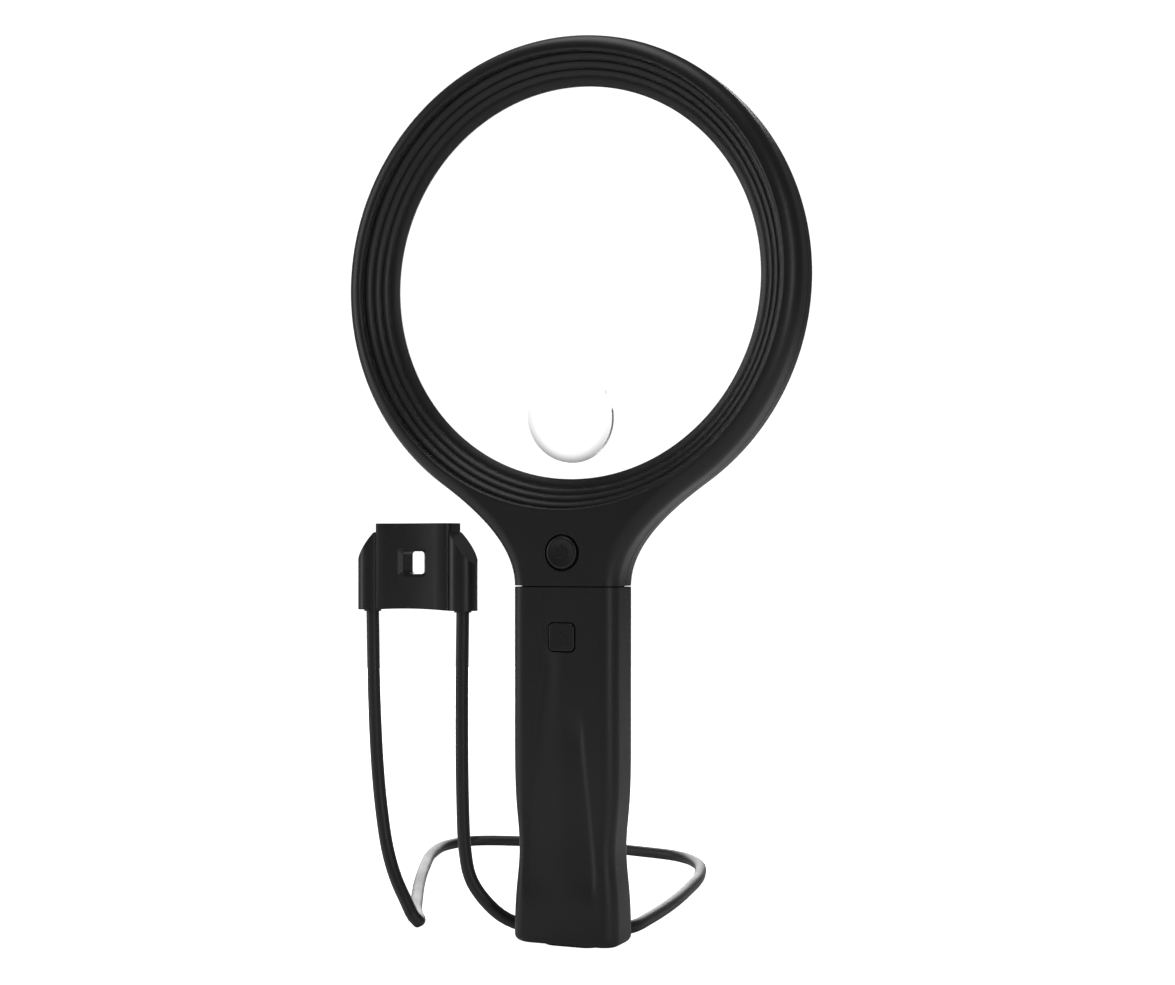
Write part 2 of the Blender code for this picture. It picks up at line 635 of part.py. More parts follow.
def make_power_pack(parts, cutters, mats, head):
    half = HALF_W - SLEEVE_WALL - CARRIER_GAP
    front = FRONT_Y + SLEEVE_WALL + CARRIER_GAP
    cradle_front = CELL_Y + 1.9 * MM
    wall_front = CELL_Y - CELL_R + 0.1 * MM
    end_z = CARRIER_END
    carrier = outline_mesh("battery_carrier", section_outline(SLEEVE_WALL + CARRIER_GAP),
                           end_z, PLUG_TOP, parts, axis="Z", resolution=5)
    boolean(carrier, box("spine_front", (-half - MM, front - 5 * MM, CELLS_Z - 8 * MM),
                       (half + MM, cradle_front, PLUG_BOTTOM), cutters))
    boolean(carrier, box("end_wall_front", (-half - MM, front - 5 * MM, end_z - MM),
                       (half + MM, wall_front, CELLS_Z), cutters))
    for i in (-1, 0, 1):
        boolean(carrier, cylinder(f"cell_groove_{i}", CELL_R + GAP, CELLS_Z - 8.2 * MM,
                                PLUG_BOTTOM + 0.3 * MM, cutters, axis="Z", at=(i * CELL_PITCH, CELL_Y),
                                sides=24))
    for i in (1, -1):
        x, z = i * SCREWS[0][0], SCREWS[0][1]
        boolean(carrier, cylinder(f"boss_way_{i}", BOSS_R + 0.5 * MM + GAP, -30 * MM, 30 * MM,
                                  cutters, at=(x, z), sides=20))
    boolean(carrier, box("lead_way", (-4 * MM, 1.2 * MM, PLUG_BOTTOM - 5 * MM),
                         (4 * MM, 3.8 * MM, PLUG_TOP + MM), cutters))
    flange_low = POWER_Z - POWER_R - BUTTON_CLEAR - FLANGE_OVER
    boolean(carrier, box("button_way", (-8 * MM, front - 3 * MM, flange_low - 0.6 * MM),
                         (8 * MM, FRONT_Y + WALL + 2.1 * MM, PLUG_TOP + MM), cutters))
    boolean(carrier, box("latch_way", (-4.2 * MM, front - 3 * MM, PLUG_BOTTOM - MM),
                         (4.2 * MM, FRONT_Y + SLEEVE_WALL + 3.6 * MM, PLUG_BOTTOM + 3.0 * MM),
                         cutters))
    link_done(carrier, mats["carrier"], head)

    profile = [(0, CELL_L), (1.9 * MM, CELL_L), (1.9 * MM, CELL_L - MM), (CELL_R, CELL_L - MM),
               (CELL_R, 0), (0, 0)]
    for i in (-1, 0, 1):
        turned(f"aaa_cell_{i + 2}", profile, parts, mats["cell"], head, axis="Z", steps=28,
               at=(i * CELL_PITCH, CELL_Y, CELLS_Z), closed=False)

    # contacts: springs under the cells, straps above them
    low = CELLS_Z - 8 * MM + GAP + 0.3 * MM
    for i in (-1, 0, 1):
        pts = [(x + i * CELL_PITCH, y + CELL_Y, z)
               for x, y, z in coil(3.2 * MM, 3, low, CELLS_Z - GAP - 0.3 * MM, 8, 0.35)]
        wire = tube("spring_curve", pts, 0.3 * MM, cutters, mats["steel"], None, sides=1)
        link_done(meshed(wire, parts, f"contact_spring_{i + 2}"), mats["steel"], head)
    top = CELLS_Z + CELL_L + GAP
    strap_y = (CELL_Y - 2.5 * MM, CELL_Y + 1.6 * MM)
    box("long_strap", (-CELL_PITCH - 3 * MM, strap_y[0], top),
        (3 * MM, strap_y[1], top + 0.5 * MM), parts, mats["nickel"], head)
    box("short_strap", (CELL_PITCH - 3 * MM, strap_y[0], top),
        (CELL_PITCH + 3 * MM, strap_y[1], top + 0.5 * MM), parts, mats["nickel"], head)

    way_y = 2.5 * MM
    board_back = SWITCH_BOARD_Y + BOARD_T
    for s in (-1, 1):
        x = s * LEAD_X
        route = [(x, way_y, PLUG_BOTTOM + 0.2 * MM), (x, way_y, PLUG_BOTTOM + 7 * MM),
                 (x, way_y, PLUG_TOP - MM), (x, way_y - 1.2 * MM, POWER_Z - 1.6 * MM),
                 (x, board_back + GAP, POWER_Z - 0.6 * MM)]
        wire = tube("lead_curve", spline_through(route, 2.5 * MM), LEAD_R, cutters, None, None,
                    sides=1)
        name = "battery_lead_minus" if s == -1 else "battery_lead_plus"
        link_done(meshed(wire, parts, name), mats["lead"], head)
    for s in (-1, 1):
        x = s * LEAD_X
        route = [(x, board_back + GAP, POWER_Z + 5 * MM), (x, 0.2 * MM, POWER_Z + 7 * MM),
                 (x, 1.5 * MM, POWER_Z + 9.5 * MM),
                 (x, 1.5 * MM, RING_Z - BOARD_OUT_R - GAP)]
        wire = tube("led_lead_curve", spline_through(route, 2.5 * MM), LEAD_R, cutters, None,
                    None, sides=1)
        name = "led_lead_minus" if s == -1 else "led_lead_plus"
        link_done(meshed(wire, parts, name), mats["lead"], head)


def grip_section(z, count_corner=4):
    """Outline of the sleeve at a height, as points around it."""
    up = z - FOOT_RISE
    waist = math.exp(-((z - WAIST_Z) / WAIST_LENGTH) ** 2)
    half = HALF_W - WAIST_DEPTH * waist
    scoop = math.exp(-((z - WAIST_Z - 6 * MM) / SCOOP_LENGTH) ** 2)
    front = FRONT_Y + SCOOP_DEPTH * scoop
    back = BACK_Y - SCOOP_DEPTH * scoop * 0.75
    near = 0.0
    if up < BASE_ROUND:
        near = BASE_ROUND - math.sqrt(max(BASE_ROUND ** 2 - (BASE_ROUND - up) ** 2, 0))
    half, front, back = half - near, front + near, back - near
    pts = []
    for cx, cy, r, start in ((1, -1, FRONT_ROUND, -90), (1, 1, BACK_ROUND, 0),
                             (-1, 1, BACK_ROUND, 90), (-1, -1, FRONT_ROUND, 180)):
        r = r - near * 0.6
        mid = Vector((cx * (half - r), front + r if cy < 0 else back - r))
        for i in range(count_corner + 1):
            a = math.radians(start + 90 * i / count_corner)
            pts.append((mid.x + r * math.cos(a), mid.y + r * math.sin(a), z))
    return pts


def make_handle(parts, cutters, mats, handle, release):
    # A loft through the grip's sections, from the rounded base to the seam
    top = SEAM_Z - GAP / 2
    low = FOOT_RISE + BASE_ROUND
    levels = [FOOT_RISE + BASE_ROUND * share for share in (0, 0.15, 0.45, 1)]
    steps = 16
    grip_top = RELEASE_Z - 22 * MM
    levels += [low + (grip_top - low) * (i + 1) / steps for i in range(steps)]
    levels.append(top)
    bm = bmesh.new()
    loops = []
    for z in levels:
        verts = [bm.verts.new(p) for p in grip_section(z)]
        loops.append([bm.edges.new((a, b)) for a, b in zip(verts, verts[1:] + verts[:1])])
    for a, b in zip(loops, loops[1:]):
        bmesh.ops.bridge_loops(bm, edges=a + b)
    bmesh.ops.contextual_create(bm, geom=loops[0])
    bmesh.ops.contextual_create(bm, geom=loops[-1])
    bmesh.ops.recalc_face_normals(bm, faces=bm.faces)
    mesh = bpy.data.meshes.new("handle_sleeve")
    bm.to_mesh(mesh)
    bm.free()
    sleeve = bpy.data.objects.new("handle_sleeve", mesh)
    parts.objects.link(sleeve)
    bay_top = CARRIER_END - BAY_STEP
    inside = outline_mesh("sleeve_inside", section_outline(SLEEVE_WALL), bay_top,
                          SEAM_Z + 5 * MM, cutters, axis="Z", resolution=5)
    boolean(sleeve, inside)
    # Below the carrier the bay is narrower, so the wall is whole at the waist too
    bay = outline_mesh("sleeve_bay", section_outline(SLEEVE_WALL + WAIST_DEPTH),
                       FOOT_RISE + BASE_T, bay_top + MM, cutters, axis="Z", resolution=5)
    boolean(sleeve, bay)
    wide, deep = FOOT_SIZE
    foot = outline_mesh("foot", rounded_square(wide / 2, deep / 2, deep / 2 - 0.1 * MM), 0,
                        FOOT_RISE + MM, cutters, axis="Z", resolution=6)
    boolean(sleeve, foot, "UNION")
    hole_half = RELEASE_SIZE / 2 + RELEASE_CLEAR
    window = outline_mesh("release_window", rounded_square(hole_half, hole_half, 2.0 * MM),
                          FRONT_Y - 5 * MM, FRONT_Y + 4 * MM, cutters, resolution=4,
                          at=(0, RELEASE_Z))
    boolean(sleeve, window)
    inner = FRONT_Y + SLEEVE_WALL
    plate_y = CELL_Y - CELL_R - GAP - 0.45 * MM
    for s in (1, -1):
        post = cylinder(f"latch_post_{s}", 1.8 * MM, inner - 0.5 * MM, plate_y - GAP, cutters,
                        at=(s * 10.5 * MM, RELEASE_Z), sides=14)
        boolean(sleeve, post, "UNION")
    link_done(sleeve, mats["sleeve"], handle)

    box("latch_plate", (-12.5 * MM, plate_y, RELEASE_Z - 5 * MM),
        (12.5 * MM, plate_y + 0.45 * MM, RELEASE_Z + 5 * MM), parts, mats["steel"], handle)

    half = RELEASE_SIZE / 2
    cap = outline_mesh("release_button_cap", rounded_square(half, half, 1.7 * MM),
                       FRONT_Y - BUTTON_PROUD, inner + GAP + 0.4 * MM, parts, resolution=4,
                       at=(0, RELEASE_Z))
    flange_half = hole_half + FLANGE_OVER + 0.1 * MM
    flange = box("release_flange", (-flange_half, inner + GAP, RELEASE_Z - flange_half),
                 (flange_half, inner + GAP + FLANGE_T, RELEASE_Z + flange_half), cutters)
    boolean(cap, flange, "UNION")
    arm = box("release_arm", (-3.2 * MM, inner + GAP, RELEASE_Z + half),
              (3.2 * MM, inner + GAP + FLANGE_T, PLUG_BOTTOM + 2.0 * MM), cutters)
    boolean(cap, arm, "UNION")
    tooth = box("release_tooth", (-2.5 * MM, inner + GAP + 0.4 * MM, PLUG_BOTTOM + 0.8 * MM),
                (2.5 * MM, inner + GAP + FLANGE_T + 0.8 * MM, PLUG_BOTTOM + 2.0 * MM), cutters)
    boolean(cap, tooth, "UNION")
    link_done(cap, mats["button"], release)

    wire_r = 0.18 * MM
    start = inner + GAP + FLANGE_T + GAP + wire_r
    end = plate_y - GAP - wire_r
    pts = [(x, z, RELEASE_Z + y) for x, y, z in coil(2.6 * MM, 2, start, end, 12)]
    spring = tube("release_spring", pts, wire_r, parts, mats["steel"], handle, sides=1)
    return spring


def stand_point(u, v, z):
    c, s = math.cos(STAND_TURN), math.sin(STAND_TURN)
    return (STAND_AT[0] + u * c - v * s, STAND_AT[1] + u * s + v * c, z)


def wire_route():
    """The loop's middle line: down the left leg, round on the floor, up the right leg."""
    left = stand_point(-LEG_U, 0, BRACKET_Z[0])
    right = stand_point(LEG_U, 0, BRACKET_Z[0])
    f = FLOOR_Z
    mm = lambda *p: tuple(c * MM for c in p)
    floor = [mm(x, y, f / MM) for x, y in (
        (-61.4, 7.4), (-65.4, 13.8), (-71.4, 24.0), (-80.4, 42.0), (-97.6, 77.6), (-113.0, 112.0),
        (-125.5, 143.0), (-130.5, 166.0), (-125.5, 182.0), (-109.0, 189.0), (-87.0, 190.5),
        (-50.0, 183.0), (-27.0, 175.5), (-13.0, 160.0), (-2.0, 131.0), (4.5, 98.0),
        (8.6, 70.0), (11.0, 42.0), (11.0, 24.0), (6.0, 16.6), (-4.0, 14.8), (-14.0, 13.6))]
    return (
        [left, mm(-79.4, 7.9, 80), mm(-78.3, 7.9, 58), mm(-76.7, 7.8, 42), mm(-73.8, 7.2, 26.5),
         mm(-70.0, 6.1, 16.8), mm(-65.2, 4.5, 9.4), mm(-61.4, 3.1, 4.3), mm(-60.0, 4.1, 2.5)]
        + floor
        + [mm(-23.5, 10.6, 2.9), mm(-30.3, 7.4, 6.3), mm(-37.2, 5.2, 13.5),
           mm(-40.6, 4.6, 19.5), mm(-42.3, 4.3, 28.5), mm(-43.1, 4.2, 45), mm(-43.4, 4.2, 76),
           right])


def make_stand(parts, cutters, mats, stand):
    def place(obj):
        obj.matrix_world = (Matrix.Translation((STAND_AT[0], STAND_AT[1], 0))
                            @ Matrix.Rotation(STAND_TURN, 4, "Z") @ obj.matrix_world)
        return obj

    z0, z1 = BRACKET_Z
    v0, v1 = BRACKET_V
    r = BRACKET_ROUND
    k = 0.5523
    h = BRACKET_HALF
    dish = v0 + BRACKET_DISH
    outline = [
        ((h - r, v0), (h - 6 * MM, v0 + 0.3 * MM), (h - r * (1 - k), v0)),
        ((h, v0 + r), (h, v0 + r * (1 - k)), (h, v0 + r)),
        corner(h, v1), corner(-h, v1),
        ((-h, v0 + r), (-h, v0 + r), (-h, v0 + r * (1 - k))),
        ((-h + r, v0), (-h + r * (1 - k), v0), (-h + 6 * MM, v0 + 0.3 * MM)),
        ((0, dish), (-5 * MM, dish), (5 * MM, dish)),
    ]
    bracket = outline_mesh("stand_bracket", outline, z0, z1, parts, axis="Z", resolution=6)
    for s in (-1, 1):
        lobe = cylinder(f"lobe_{s}", LOBE_R, z0, SHOULDER[1], cutters, axis="Z",
                        at=(s * LEG_U, 0), sides=24)
        drop = SHOULDER[1] - SHOULDER[0]
        run = LEG_U + LOBE_R - h
        lean = math.atan2(drop, run)
        cut = box(f"shoulder_{s}", (-20 * MM, -10 * MM, 0), (20 * MM, 10 * MM, 20 * MM), cutters,
                  turn=(0, s * lean, 0))
        middle = Vector((s * (h + run / 2), 0, (SHOULDER[0] + SHOULDER[1]) / 2))
        normal = Vector((s * math.sin(lean), 0, math.cos(lean)))
        cut.location = middle + normal * 10 * MM
        boolean(lobe, cut)
        boolean(bracket, lobe, "UNION")
    arch_r = (h ** 2 + BRACKET_ARCH ** 2) / (2 * BRACKET_ARCH)
    boolean(bracket, cylinder("arch", arch_r, -20 * MM, 20 * MM, cutters,
                              at=(0, z0 + BRACKET_ARCH - arch_r), sides=180))
    sw, sh = SLOT_SIZE[0] / 2, SLOT_SIZE[1] / 2
    slot = outline_mesh("slot", rounded_square(sw, sh, 1.0 * MM), -20 * MM, 20 * MM, cutters,
                        resolution=3, at=(0, SLOT_Z))
    boolean(bracket, slot)
    bm = bmesh.new()
    side = math.sqrt(2.0)
    bmesh.ops.create_cone(bm, cap_ends=True, segments=4, radius1=side * (sw + 3 * MM),
                          radius2=side * (sw - MM), depth=4 * MM)
    bmesh.ops.rotate(bm, verts=bm.verts, matrix=Matrix.Rotation(math.pi / 4, 3, "Z"))
    bmesh.ops.scale(bm, verts=bm.verts, vec=(1, sh / sw, 1))
    bmesh.ops.rotate(bm, verts=bm.verts, matrix=Matrix.Rotation(-math.pi / 2, 3, "X"))
    mesh = bpy.data.meshes.new("slot_chamfer")
    bm.to_mesh(mesh)
    bm.free()
    chamfer = bpy.data.objects.new("slot_chamfer", mesh)
    chamfer.location = (0, dish - 2 * MM + SLOT_CHAMFER + MM, SLOT_Z)
    cutters.objects.link(chamfer)
    boolean(bracket, chamfer)
    for s in (-1, 1):
        boolean(bracket, cylinder(f"leg_socket_{s}", WIRE_R + GAP, z0 - 5 * MM,
                                  FERRULE_Z[1] + 1.5 * MM, cutters, axis="Z",
                                  at=(s * LEG_U, 0), sides=20))
        boolean(bracket, cylinder(f"collar_seat_{s}", COLLAR_R + GAP, z0 - 5 * MM,
                                  z0 + COLLAR_T / 2, cutters, axis="Z", at=(s * LEG_U, 0),
                                  sides=24))
    link_done(bracket, mats["bracket"], None)
    bpy.context.view_layer.update()
    for obj in cutters.objects:
        if obj.name.split("_")[0] in ("lobe", "shoulder", "arch", "slot", "leg", "collar"):
            place(obj)
    place(bracket)
    bracket.parent = stand

    for s, side in ((-1, "left"), (1, "right")):
        x, y, _ = stand_point(s * LEG_U, 0, 0)
        turned(f"leg_collar_{side}", [
            (COLLAR_R, z0 + COLLAR_T / 2 - GAP), (COLLAR_R, z0 - COLLAR_T / 2),
            (WIRE_R + GAP, z0 - COLLAR_T / 2), (WIRE_R + GAP, z0 + COLLAR_T / 2 - GAP)],
            parts, mats["rubber"], stand, at=(x, y, 0), axis="Z", steps=24)
        turned(f"wire_ferrule_{side}", [
            (FERRULE_R, FERRULE_Z[1]), (FERRULE_R, FERRULE_Z[0]),
            (WIRE_BORE_R, FERRULE_Z[0]), (WIRE_BORE_R, FERRULE_Z[1])],
            parts, mats["nickel"], stand, at=(x, y, 0), axis="Z", steps=20)

    spacing = 8.0 * MM
    line = spline_through(wire_route(), spacing)
    left, right = (stand_point(s * LEG_U, 0, SHEATH_END_Z) for s in (-1, 1))
    sheath = tube("loop_sheath", [left] + line + [right], WIRE_R, parts, mats["rubber"], stand,
                  caps=False)
    wall = sheath.modifiers.new("wall", "SOLIDIFY")
    wall.thickness = WIRE_R - WIRE_BORE_R
    wall.offset = -1
    ends = [stand_point(s * LEG_U, 0, FERRULE_Z[1] + 0.8 * MM) for s in (-1, 1)]
    tube("loop_core", [ends[0]] + line + [ends[1]], CORE_R, parts, mats["steel"], stand, sides=1)


def main():
    clear_scene()
    parts = new_collection("lighted_magnifier")
    cutters = new_collection("cutters")
    mats = {
        "shell": material("black_abs", (0.012, 0.012, 0.013), 0.45),
        "sleeve": material("black_abs_sleeve", (0.013, 0.013, 0.014), 0.48),
        "button": material("black_button", (0.010, 0.010, 0.011), 0.42),
        "glass": material("clear_acrylic", (0.95, 0.97, 0.98), 0.03, glass=1.0),
        "diffuser": material("frosted_acrylic", (0.85, 0.86, 0.86), 0.4, glass=0.6),
        "board": material("solder_mask", (0.02, 0.16, 0.06), 0.45),
        "led": material("led_package", (0.85, 0.82, 0.55), 0.35),
        "steel": material("steel", (0.55, 0.55, 0.56), 0.3, 1.0),
        "nickel": material("nickel_plate", (0.72, 0.70, 0.66), 0.3, 1.0),
        "carrier": material("grey_abs", (0.035, 0.035, 0.038), 0.5),
        "cell": material("cell_wrap", (0.06, 0.09, 0.18), 0.35),
        "lead": material("red_pvc", (0.35, 0.03, 0.03), 0.45),
        "bracket": material("black_abs_bracket", (0.016, 0.016, 0.017), 0.40),
        "rubber": material("black_rubber", (0.020, 0.020, 0.021), 0.55),
    }
    empties = {}
    for name in ("handle", "head", "power_button", "release_button", "stand"):
        empty = bpy.data.objects.new(name + "_pivot", None)
        parts.objects.link(empty)
        empties[name] = empty
    make_head(parts, cutters, mats, empties["head"])
    make_optics(parts, cutters, mats, empties["head"])
    make_power_switch(parts, cutters, mats, empties["head"], empties["power_button"])
    make_power_pack(parts, cutters, mats, empties["head"])
    make_handle(parts, cutters, mats, empties["handle"], empties["release_button"])
    make_stand(parts, cutters, mats, empties["stand"])
    for obj in cutters.objects:
        guide(obj)


main()
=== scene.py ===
"""Visual model of a lighted reading magnifier and the bendable wire stand beside it.

Metres, +Z up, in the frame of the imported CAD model.  The origin is on the floor under the handle,
the buttons look towards -Y, and the lens axis runs along Y.  The pieces take their places from
the CAD nodes and the record.  The classes hold the sizes of the detail that the finer pieces add,
and Stand.route holds the run of the bendable wire.
"""

import json
import logging
import math
from collections.abc import Callable, Iterable, Sequence
from dataclasses import dataclass
from enum import Enum

import bpy
from mathutils import Matrix, Vector


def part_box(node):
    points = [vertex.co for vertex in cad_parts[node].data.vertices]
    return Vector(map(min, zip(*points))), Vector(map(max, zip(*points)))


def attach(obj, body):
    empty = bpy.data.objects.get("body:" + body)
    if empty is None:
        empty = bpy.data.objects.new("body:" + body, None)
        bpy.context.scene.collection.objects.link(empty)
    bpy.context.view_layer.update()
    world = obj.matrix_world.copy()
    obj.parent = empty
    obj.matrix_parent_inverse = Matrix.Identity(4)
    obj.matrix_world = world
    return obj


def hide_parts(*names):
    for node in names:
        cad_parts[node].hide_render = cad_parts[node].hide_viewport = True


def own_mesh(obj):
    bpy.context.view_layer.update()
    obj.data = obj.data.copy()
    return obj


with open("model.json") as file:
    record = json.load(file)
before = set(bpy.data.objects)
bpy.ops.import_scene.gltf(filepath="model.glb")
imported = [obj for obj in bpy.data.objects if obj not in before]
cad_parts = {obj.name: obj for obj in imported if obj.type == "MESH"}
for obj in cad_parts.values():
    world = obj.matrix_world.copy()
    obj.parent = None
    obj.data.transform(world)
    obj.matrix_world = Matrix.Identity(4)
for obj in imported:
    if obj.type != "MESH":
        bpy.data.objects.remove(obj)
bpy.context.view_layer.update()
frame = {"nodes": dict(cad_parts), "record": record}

logging.basicConfig(level=logging.INFO, format="%(message)s")
LOG = logging.getLogger("magnifier")

MM = 0.001
TOUCH = 0.01 * MM    # a point this near a plane lies on it
DRIFT = 22 * MM      # distance over which a moulding's colour and dullness change
INSERT_RADIUS = 15.2 * MM    # radius of the stronger round insert of the lens
INSERT_DROP = 44.4 * MM      # how far the insert lies under the lens centre
WHITE = "#FFFFFF"


# ------------------------------------------------------------------ places from the frame

def middle(node: str) -> Vector:
    """The middle of a CAD node's box."""
    low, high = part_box(node)
    return (low + high) / 2


def span(node: str) -> Vector:
    """The three side lengths of a CAD node's box."""
    low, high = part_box(node)
    return high - low


def mount(name: str) -> tuple[Vector, Vector]:
    """Place and axis of one of the record's mounts.

    Args:
        name: The mount's name in the record.

    Returns:
        Its position and its axis, in metres.
    """
    for entry in frame["record"]["mounts"]:
        if entry["name"] == name:
            return Vector(entry["pos_m"]), Vector(entry["axis"])
    raise KeyError(name)


def release_height() -> float:
    """Height of the middle of the square release cap, which has an arm above it."""
    low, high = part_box("release_button_cap")
    return low.z + (high.x - low.x) / 2


# ------------------------------------------------------------------ modelling by operators

class Join(Enum):
    """How one piece meets another in a Boolean."""

    CUT = "DIFFERENCE"
    ADD = "UNION"


def deselect() -> None:
    """Leave edit mode and select nothing."""
    if bpy.context.object is not None and bpy.context.object.mode == "EDIT":
        bpy.ops.object.mode_set(mode="OBJECT")
    bpy.ops.object.select_all(action="DESELECT")


def activate(obj: bpy.types.Object) -> None:
    """Make an object the only selected one."""
    deselect()
    obj.select_set(True)
    bpy.context.view_layer.objects.active = obj


def paint(obj: bpy.types.Object, finish: "Finish") -> None:
    """Give an object one finish and no other."""
    obj.data.materials.clear()
    obj.data.materials.append(finish.material())


class Piece:
    """A mesh on the bench, shaped in edit mode and then finished with modifiers.

    Its object stays at the origin, so its vertices are already in the frame's coordinates.
    """

    def __init__(self, obj: bpy.types.Object, name: str) -> None:
        """Take an object onto the bench under a name."""
        self.obj = obj
        self.obj.name = name
        self.obj.data.name = name

    @classmethod
    def traced(cls, name: str, points: Sequence[Vector], closed: bool = True) -> "Piece":
        """Draw a line by extruding one vertex from point to point.

        Args:
            name: The piece's name.
            points: The line's points.
            closed: Whether the line returns to its start.

        Returns:
            The piece, in edit mode with everything selected.
        """
        deselect()
        bpy.ops.mesh.primitive_plane_add(size=MM, location=(0, 0, 0))
        piece = cls(bpy.context.object, name)
        bpy.ops.object.mode_set(mode="EDIT")
        bpy.ops.mesh.select_mode(type="VERT")
        bpy.ops.mesh.select_all(action="SELECT")
        bpy.ops.mesh.merge(type="CENTER")
        bpy.ops.transform.translate(value=points[0])
        line = list(points) + ([points[0]] if closed else [])
        for start, end in zip(line, line[1:]):
            bpy.ops.mesh.extrude_region_move(TRANSFORM_OT_translate={"value": end - start})
        bpy.ops.mesh.select_all(action="SELECT")
        bpy.ops.mesh.remove_doubles(threshold=0.002 * MM)
        return piece

    @classmethod
    def prism(cls, name: str, points: Sequence[Vector], along: Vector) -> "Piece":
        """A flat outline pulled into a solid.

        Args:
            name: The piece's name.
            points: The outline.
            along: How far and where the outline is pulled.

        Returns:
            The solid, in object mode.
        """
        piece = cls.traced(name, points)
        bpy.ops.mesh.edge_face_add()
        bpy.ops.mesh.extrude_region_move(TRANSFORM_OT_translate={"value": along})
        return piece.outwards()

    @classmethod
    def turned(cls, name: str, profile: Sequence[tuple[float, float]], centre: Vector,
               axis: Vector, steps: int = 96, closed: bool = True) -> "Piece":
        """A profile spun round an axis.

        Args:
            name: The piece's name.
            profile: Pairs of radius and height along the axis, from the centre.
            centre: A point on the axis.
            axis: The axis, of length 1.
            steps: The number of steps round.
            closed: Whether the profile returns to its start, as a ring's does.

        Returns:
            The turned solid, in object mode.
        """
        across = Vector((1, 0, 0)) if abs(axis.x) < 0.5 else Vector((0, 1, 0))
        across = (across - axis * across.dot(axis)).normalized()
        points = [centre + across * radius + axis * height for radius, height in profile]
        piece = cls.traced(name, points, closed)
        bpy.ops.mesh.spin(steps=steps, angle=math.tau, center=centre, axis=axis)
        bpy.ops.mesh.select_all(action="SELECT")
        bpy.ops.mesh.remove_doubles(threshold=0.003 * MM)
        return piece.outwards()

    @classmethod
    def block(cls, name: str, low: Sequence[float], high: Sequence[float]) -> "Piece":
        """A box between two corners, which is then shaped further or cuts another piece."""
        deselect()
        low, high = Vector(low), Vector(high)
        bpy.ops.mesh.primitive_cube_add(size=1, location=(low + high) / 2)
        bpy.ops.transform.resize(value=high - low, center_override=(low + high) / 2)
        bpy.ops.object.transform_apply(location=True, rotation=True, scale=True)
        return cls(bpy.context.object, name)

    def edit(self, operator: Callable[..., object], **settings: object) -> "Piece":
        """Run an edit-mode operator on the whole piece."""
        activate(self.obj)
        bpy.ops.object.mode_set(mode="EDIT")
        bpy.ops.mesh.select_all(action="SELECT")
        operator(**settings)
        bpy.ops.object.mode_set(mode="OBJECT")
        return self

    def modify(self, kind: str, **settings: object) -> "Piece":
        """Add a modifier with its settings and apply it."""
        activate(self.obj)
        mod = self.obj.modifiers.new(kind, kind)
        for key, value in settings.items():
            setattr(mod, key, value)
        bpy.ops.object.modifier_apply(modifier=mod.name)
        return self

    def outwards(self) -> "Piece":
        """Turn all faces outwards."""
        return self.edit(bpy.ops.mesh.normals_make_consistent, inside=False)

    def pick(self, test: Callable[[Vector], bool], kind: str = "EDGE") -> int:
        """Go into edit mode with the edges, faces or vertices whose every corner passes a test.

        Args:
            test: Says whether a corner's place is wanted.
            kind: EDGE, FACE or VERT.

        Returns:
            How many were selected.
        """
        activate(self.obj)
        mesh = self.obj.data
        wanted = [test(v.co) for v in mesh.vertices]
        parts = {"EDGE": mesh.edges, "FACE": mesh.polygons, "VERT": mesh.vertices}[kind]
        bpy.ops.object.mode_set(mode="EDIT")
        bpy.ops.mesh.select_mode(type=kind)
        bpy.ops.mesh.select_all(action="DESELECT")
        bpy.ops.object.mode_set(mode="OBJECT")
        count = 0
        for part in parts:
            corners = [part.index] if kind == "VERT" else part.vertices
            part.select = all(wanted[i] for i in corners)
            count += part.select
        bpy.ops.object.mode_set(mode="EDIT")
        return count

    def round_edges(self, test: Callable[[Vector], bool], radius: float,
                    segments: int = 4) -> "Piece":
        """Round the edges whose two ends pass a test."""
        if self.pick(test):
            bpy.ops.mesh.bevel(offset=radius, segments=segments, clamp_overlap=True)
        bpy.ops.object.mode_set(mode="OBJECT")
        return self

    def taper(self, test: Callable[[Vector], bool], kind: str, value: Sequence[float],
              centre: Sequence[float]) -> "Piece":
        """Scale what passes a test about a centre."""
        self.pick(test, kind)
        bpy.ops.transform.resize(value=value, center_override=centre)
        bpy.ops.object.mode_set(mode="OBJECT")
        return self

    def weld(self, reach: float) -> "Piece":
        """Merge the vertices that lie within reach of each other."""
        return self.edit(bpy.ops.mesh.remove_doubles, threshold=reach)

    def trim(self, place: Sequence[float], normal: Sequence[float]) -> "Piece":
        """Cut away all on the side of a plane that its normal points to, and close the cut."""
        return self.edit(bpy.ops.mesh.bisect, plane_co=place, plane_no=normal, use_fill=True,
                         clear_outer=True)

    def meet(self, tool: "Piece", how: Join = Join.CUT) -> "Piece":
        """Cut this piece with another, or join them.  The other one is used up."""
        self.modify("BOOLEAN", operation=how.value, solver="EXACT", object=tool.obj)
        bpy.data.objects.remove(tool.obj, do_unlink=True)
        return self

    def soften(self, width: float, segments: int = 2, angle: float = 40.0) -> "Piece":
        """Round every edge sharper than an angle, in degrees."""
        return self.modify("BEVEL", width=width, segments=segments, limit_method="ANGLE",
                           angle_limit=math.radians(angle), use_clamp_overlap=True)

    def move(self, matrix: Matrix) -> "Piece":
        """Move the finished mesh to its place."""
        activate(self.obj)
        self.obj.matrix_world = matrix
        bpy.ops.object.transform_apply(location=True, rotation=True, scale=True)
        return self

    def copied(self, name: str, matrix: Matrix) -> "Piece":
        """A copy with its own mesh at another place."""
        activate(self.obj)
        bpy.ops.object.duplicate(linked=False)
        return Piece(bpy.context.object, name).move(matrix)

